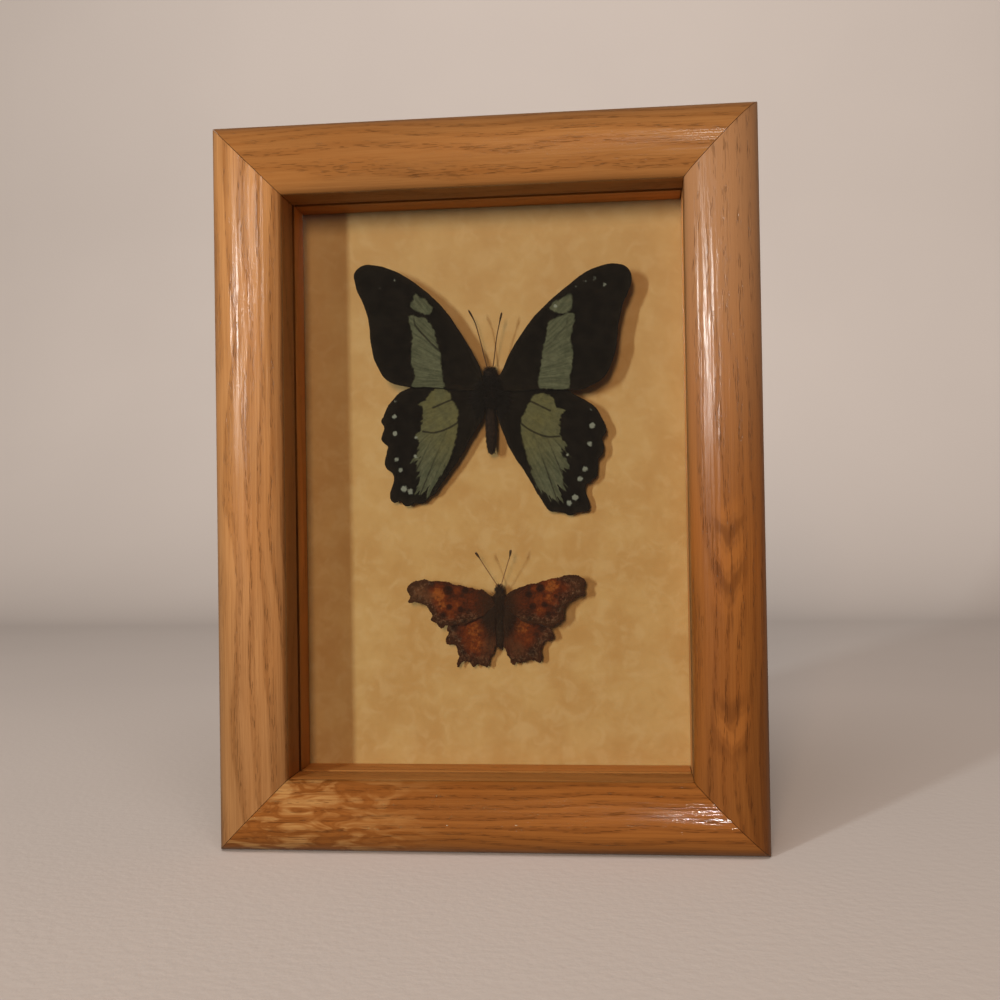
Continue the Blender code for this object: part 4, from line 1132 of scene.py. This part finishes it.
def antenna_surface(name, shaft, club, tip):
    """Dark thread with a darker club and a paler tip, by distance from the root."""
    s = Shader(name)
    place = s.millimetres()
    part = s.field("part")
    bands = s.noise(place, 4.0, 2.0)
    colour = s.blend(s.step(part, 0.7, 0.82), shaft, club)
    colour = s.blend(s.step(part, 0.965, 0.985), colour, tip)
    s.set(Base_Color=s.tint(colour, s.add(s.times(bands, 0.6), 0.7)), Roughness=0.5)
    return s.material


def build_body(kind, profile, height, eye, tail, skin, place, palp):
    """Body, legs, palps and coiled tongue as one mesh, and the eyes as another."""
    shape, along, radii = turned_body(profile, tail)
    parts = [shape]
    root, reach = palp
    for side in (-1, 1):
        parts += legs(side, radii.max() / 2.8, -height + 2.4)
        path = [
            (side * 0.35, root, 0.1),
            (side * 0.45, root + reach * 0.6, 0.35),
            (side * 0.18, root + reach, 0.2),
        ]
        parts.append(tube(curve_through(path, 8), np.linspace(0.34, 0.06, 17), 8))
    coil = np.array([
        (0, root + 0.25 + 0.09 * t * math.cos(t * 1.9) / 2, -0.5 + 0.09 * t * math.sin(t * 1.9) / 2)
        for t in np.linspace(1, 7, 60)
    ])
    drift = np.array((0.02, 0, 0)) * np.arange(60)[:, None] / 60
    parts.append(tube(coil + drift, np.full(60, 0.07), 6))
    matrix = place @ Matrix.Translation((0, 0, height * MM)) @ Matrix.Scale(MM, 4)
    points, faces = join(parts)
    body = add_mesh(f"{kind}_body", points, faces, matrix, skin)
    piece(body, "insect_body", f"{kind}_body")
    x, y, size = eye
    radii_of_eye = (size, size * 1.1, size * 1.15)
    eyes = join([ball((side * x, y, 0.25), radii_of_eye) for side in (-1, 1)])
    obj = add_mesh(f"{kind}_eyes", *eyes, matrix, eye_surface())
    piece(obj, "insect_body")
    return along, radii, matrix


# In millimetres. A profile is radius and length, from the head to the tail. An eye is x, y and size.
# A stretch of body hair is low, high, count, length, width and lean, and wing hair is span, low,
# high, height, count, length and width. left and right are the routes of the antennae.
INSECTS = {
    "swallowtail": {
        "build": build_large,
        "skin": ((0.009, 0.006, 0.0045), (0.03, 0.017, 0.011), 0.45),
        "fur": ((0.004, 0.003, 0.002), (0.014, 0.0095, 0.006)),
        "profile": [
            (0.02, 7.8), (1.0, 7.5), (1.6, 6.5), (1.5, 5.4), (2.4, 4.4), (3.1, 2.2), (3.0, -0.5),
            (2.4, -2.8), (1.5, -4.3), (1.6, -7), (1.62, -11), (1.4, -14.5), (0.85, -16.9), (0.02, -17.7),
        ],
        "height": 4.2,
        "eye": (1.15, 6.5, 0.85),
        "tail": (-4.3, -17.7),
        "palp": (7.0, 1.3),
        "body_hair": [
            (-3.5, 5.6, 5200, 2.5, 0.04, -0.5), (2.4, 5.4, 1200, 3.3, 0.035, -0.2),
            (5.0, 7.7, 900, 1.2, 0.03, 0.5), (-17.0, -3.5, 1800, 0.55, 0.028, -1.6),
        ],
        "wing_hair": ((1.6, 4.6), -7, 4.0, 1.7, 1300, 2.2, 0.035),
        "thread": ((0.075, 0.038, 0.018), (0.03, 0.017, 0.01), (0.08, 0.05, 0.03)),
        "antenna": (0.15, 1.9),
        "left": [(-0.5, 7.3, 4.6), (-1.0, 8.6, 5.0), (-2.9, 17, 6.5), (-4.1, 21.2, 7.1), (-5.8, 24.6, 7.5)],
        "right": [(0.5, 7.3, 4.6), (1.0, 8.6, 5.0), (2.2, 16, 6.5), (3.2, 20.4, 7.1), (4.0, 23.6, 7.5)],
    },
    "comma": {
        "build": build_small,
        "skin": ((0.012, 0.007, 0.0035), (0.035, 0.02, 0.01), 0.5),
        "fur": ((0.016, 0.006, 0.002), (0.06, 0.024, 0.0075)),
        "profile": [
            (0.02, 8.2), (0.5, 7.9), (1.1, 6.9), (1.1, 5.7), (1.7, 4.7), (2.0, 2.5), (1.9, 0.2),
            (1.4, -1.6), (1.2, -3), (1.25, -5), (1.1, -8), (0.6, -10), (0.02, -10.6),
        ],
        "height": 3.2,
        "eye": (0.85, 6.7, 0.62),
        "tail": (-1.8, -10.6),
        "palp": (6.9, 1.6),
        "body_hair": [
            (-1.5, 5.4, 2600, 1.35, 0.032, -0.7), (5.2, 7.9, 500, 0.7, 0.028, 0.6),
            (-10.4, -1.5, 1500, 0.7, 0.028, -1.4),
        ],
        "wing_hair": ((1.2, 4.0), -5.4, 4.6, 1.6, 1300, 1.8, 0.03),
        "thread": ((0.2, 0.1, 0.045), (0.05, 0.026, 0.012), (0.30, 0.19, 0.10)),
        "antenna": (0.12, 3.0),
        "left": [(-0.4, 7.4, 3.7), (-0.8, 8.4, 4.5), (-3.6, 13.2, 6.5), (-5.2, 16.0, 7.4), (-6.4, 17.9, 8.0)],
        "right": [(0.4, 7.4, 3.7), (0.8, 8.4, 4.5), (2.6, 13.6, 6.5), (3.6, 16.4, 7.4), (4.0, 18.5, 8.0)],
    },
}


def build_insects():
    rng = np.random.default_rng(21)
    for kind, shape in INSECTS.items():
        place = shape["build"]()
        skin = chitin(f"{kind}_skin", *shape["skin"])
        coat = fur(f"{kind}_fur", *shape["fur"])
        along, radii, matrix = build_body(
            kind, shape["profile"], shape["height"], shape["eye"], shape["tail"],
            skin, place, shape["palp"],
        )
        strands = [body_hair(along, radii, *stretch, rng) for stretch in shape["body_hair"]]
        strands += [wing_base_hair(side, *shape["wing_hair"], rng) for side in (-1, 1)]
        piece(add_mesh(f"{kind}_hair", *join(strands), matrix, coat), "insect_body")
        thread = antenna_surface(f"{kind}_thread", *shape["thread"])
        for side in ("left", "right"):
            antenna(f"{kind}_antenna_{side}", shape[side], *shape["antenna"], place, thread)


build_insects()


# ---------------------------------------------------------------- stage, light and camera


def plaster():
    s = Shader("pale_stage")
    place = s.millimetres()
    cloud = s.noise(place, 0.004, 3.0)
    skin = s.noise(place, 0.35, 3.0)
    colour = s.blend(cloud, (0.62, 0.555, 0.525), (0.68, 0.61, 0.575))
    s.set(Base_Color=colour, Roughness=0.85, Specular_IOR_Level=0.2)
    s.bump(skin, 0.25, 0.4)
    return s.material


def build_stage():
    """A pale floor that curves up into a backdrop."""
    line = [(-3.0, 0.0), (0.75, 0.0)]
    for turn in np.linspace(0, math.pi / 2, 24)[1:]:
        line.append((0.75 + 0.5 * math.sin(turn), 0.5 - 0.5 * math.cos(turn)))
    line.append((1.25, 3.0))
    rows = [[(x, y, z) for y, z in line] for x in (-3.5, 3.5)]
    count = len(line)
    faces = [(i, count + i, count + i + 1, i + 1) for i in range(count - 1)]
    floor = add_mesh("stage_floor", rows[0] + rows[1], faces, Matrix(), plaster())
    return floor


def area_light(name, azimuth, slope, reach, size, power, colour, target):
    """A soft rectangular light; azimuth is to the right of the frame's normal, in degrees."""
    data = bpy.data.lights.new(name, "AREA")
    data.shape = "RECTANGLE"
    data.size, data.size_y = size
    data.energy = power
    data.color = colour
    obj = bpy.data.objects.new(name, data)
    bpy.context.scene.collection.objects.link(obj)
    turn = math.radians(azimuth)
    away = Vector((math.sin(turn), -math.cos(turn), slope)).normalized()
    obj.location = Vector(target) + away * reach
    obj.rotation_mode = "QUATERNION"
    obj.rotation_quaternion = away.to_track_quat("Z", "Y")
    return obj


PALE = (1.0, 0.98, 0.93)
WHOLE = (0, -0.005, 0.105)
METAL = ("glazing_point", "sawtooth", "hanger_nail")
BEHIND = ("rail_", *METAL, "backing_board")
# Azimuth, slope, distance, size, power, colour, target, the rays that don't see the light, and the
# starts of the names of what it lights, if it doesn't light everything.
LIGHTS = {
    "side_light": (-31, 0.13, 1.5, (0.08, 0.32), 14.0, (0.87, 0.98, 1.0), WHOLE, "glossy", None),
    "front_light": (-4, 0.21, 1.5, (0.2, 0.4), 13.0, (1.0, 0.735, 0.515), WHOLE, "glossy", None),
    "side_gloss": (-24, 0.16, 1.5, (0.16, 0.16), 5.0, PALE, (-0.067, -0.02, 0.15), "diffuse", "rail_left"),
    "right_gloss": (-26, 0.15, 1.5, (0.1, 0.17), 5.4, PALE, (0.06, -0.02, 0.14), "diffuse", "rail_right"),
    "front_gloss": (4, 0.22, 1.5, (0.12, 0.15), 1.3, PALE, (-0.062, -0.02, 0.168), "diffuse", "rail_left"),
    "low_gloss": (4.0, 0.02, 1.5, (0.02, 0.05), 1.8, PALE, (0.067, -0.015, 0.0125), "diffuse", "rail_bottom"),
    "top_gloss": (5.6, 0.25, 1.5, (0.05, 0.1), 1.6, PALE, (0.06, -0.019, 0.197), "diffuse", "rail_top"),
    "back_light": (172, 0.8, 1.4, (0.8, 0.6), 13.0, PALE, WHOLE, "glossy", BEHIND),
    "steel_gloss": (172, 0.8, 1.4, (0.8, 0.6), 13.0, PALE, WHOLE, "diffuse", METAL),
    "flank_light": (112, 0.5, 1.4, (0.6, 0.6), 7.0, PALE, WHOLE, "glossy", BEHIND),
    "stage_light": (0, 0.55, 2.4, (1.4, 1.4), 11.5, (1.0, 0.95, 0.9), (0, 1.25, 0.55), None, "stage_floor"),
}


def only_lights(light, starts):
    """The light reaches only the objects whose names start as given."""
    reached = bpy.data.collections.new(f"lit_by_{light.name}")
    for obj in bpy.data.objects:
        if obj.type == "MESH" and not obj.hide_render and obj.name.startswith(starts):
            reached.objects.link(obj)
    light.light_linking.receiver_collection = reached


floor = build_stage()
for ray in ("diffuse", "glossy", "transmission"):
    setattr(floor, f"visible_{ray}", False)  # the object hangs on a wall, with no bright floor by it
for name, (*settings, hidden, lit) in LIGHTS.items():
    light = area_light(name, *settings)
    light.visible_transmission = False  # the glass already lets its light straight through
    if hidden:
        setattr(light, f"visible_{hidden}", False)
    if lit:
        only_lights(light, lit)
bpy.data.objects["stage_light"].data.spread = math.radians(100)


ROOM_LIGHT = 0.11  # strength by which the room lights the object
ROOM_SEEN = 0.45  # strength that the camera sees


def room():
    """Dim warm room all round, a little lighter where the camera sees it directly."""
    made = bpy.data.worlds.new("room")
    made.use_nodes = True
    tree = made.node_tree
    background = tree.nodes["Background"]
    background.inputs["Color"].default_value = (1.0, 0.82, 0.66, 1)
    seen = tree.nodes.new("ShaderNodeLightPath")
    strength = tree.nodes.new("ShaderNodeMapRange")
    strength.inputs["To Min"].default_value = ROOM_LIGHT
    strength.inputs["To Max"].default_value = ROOM_SEEN
    tree.links.new(seen.outputs["Is Camera Ray"], strength.inputs["Value"])
    tree.links.new(strength.outputs["Result"], background.inputs["Strength"])
    return made


scene = bpy.context.scene
scene.world = room()
scene.view_settings.view_transform = "Standard"

FOCAL_LENGTH = 45.15
CAMERA_PLACE = Vector((0.04255, -0.36005, 0.09271))
CAMERA_AIM = Vector((0.00457, -0.0145, 0.09807))
CAMERA_ROLL = math.radians(-0.88)
camera_data = bpy.data.cameras.new("camera")
camera_data.lens = FOCAL_LENGTH
camera_data.sensor_width = 36.0
camera = bpy.data.objects.new("camera", camera_data)
scene.collection.objects.link(camera)
look = (CAMERA_AIM - CAMERA_PLACE).to_track_quat("-Z", "Y").to_matrix().to_4x4()
camera.matrix_world = Matrix.Translation(CAMERA_PLACE) @ look @ Matrix.Rotation(CAMERA_ROLL, 4, "Z")
camera_data.clip_start = 0.01
scene.camera = camera
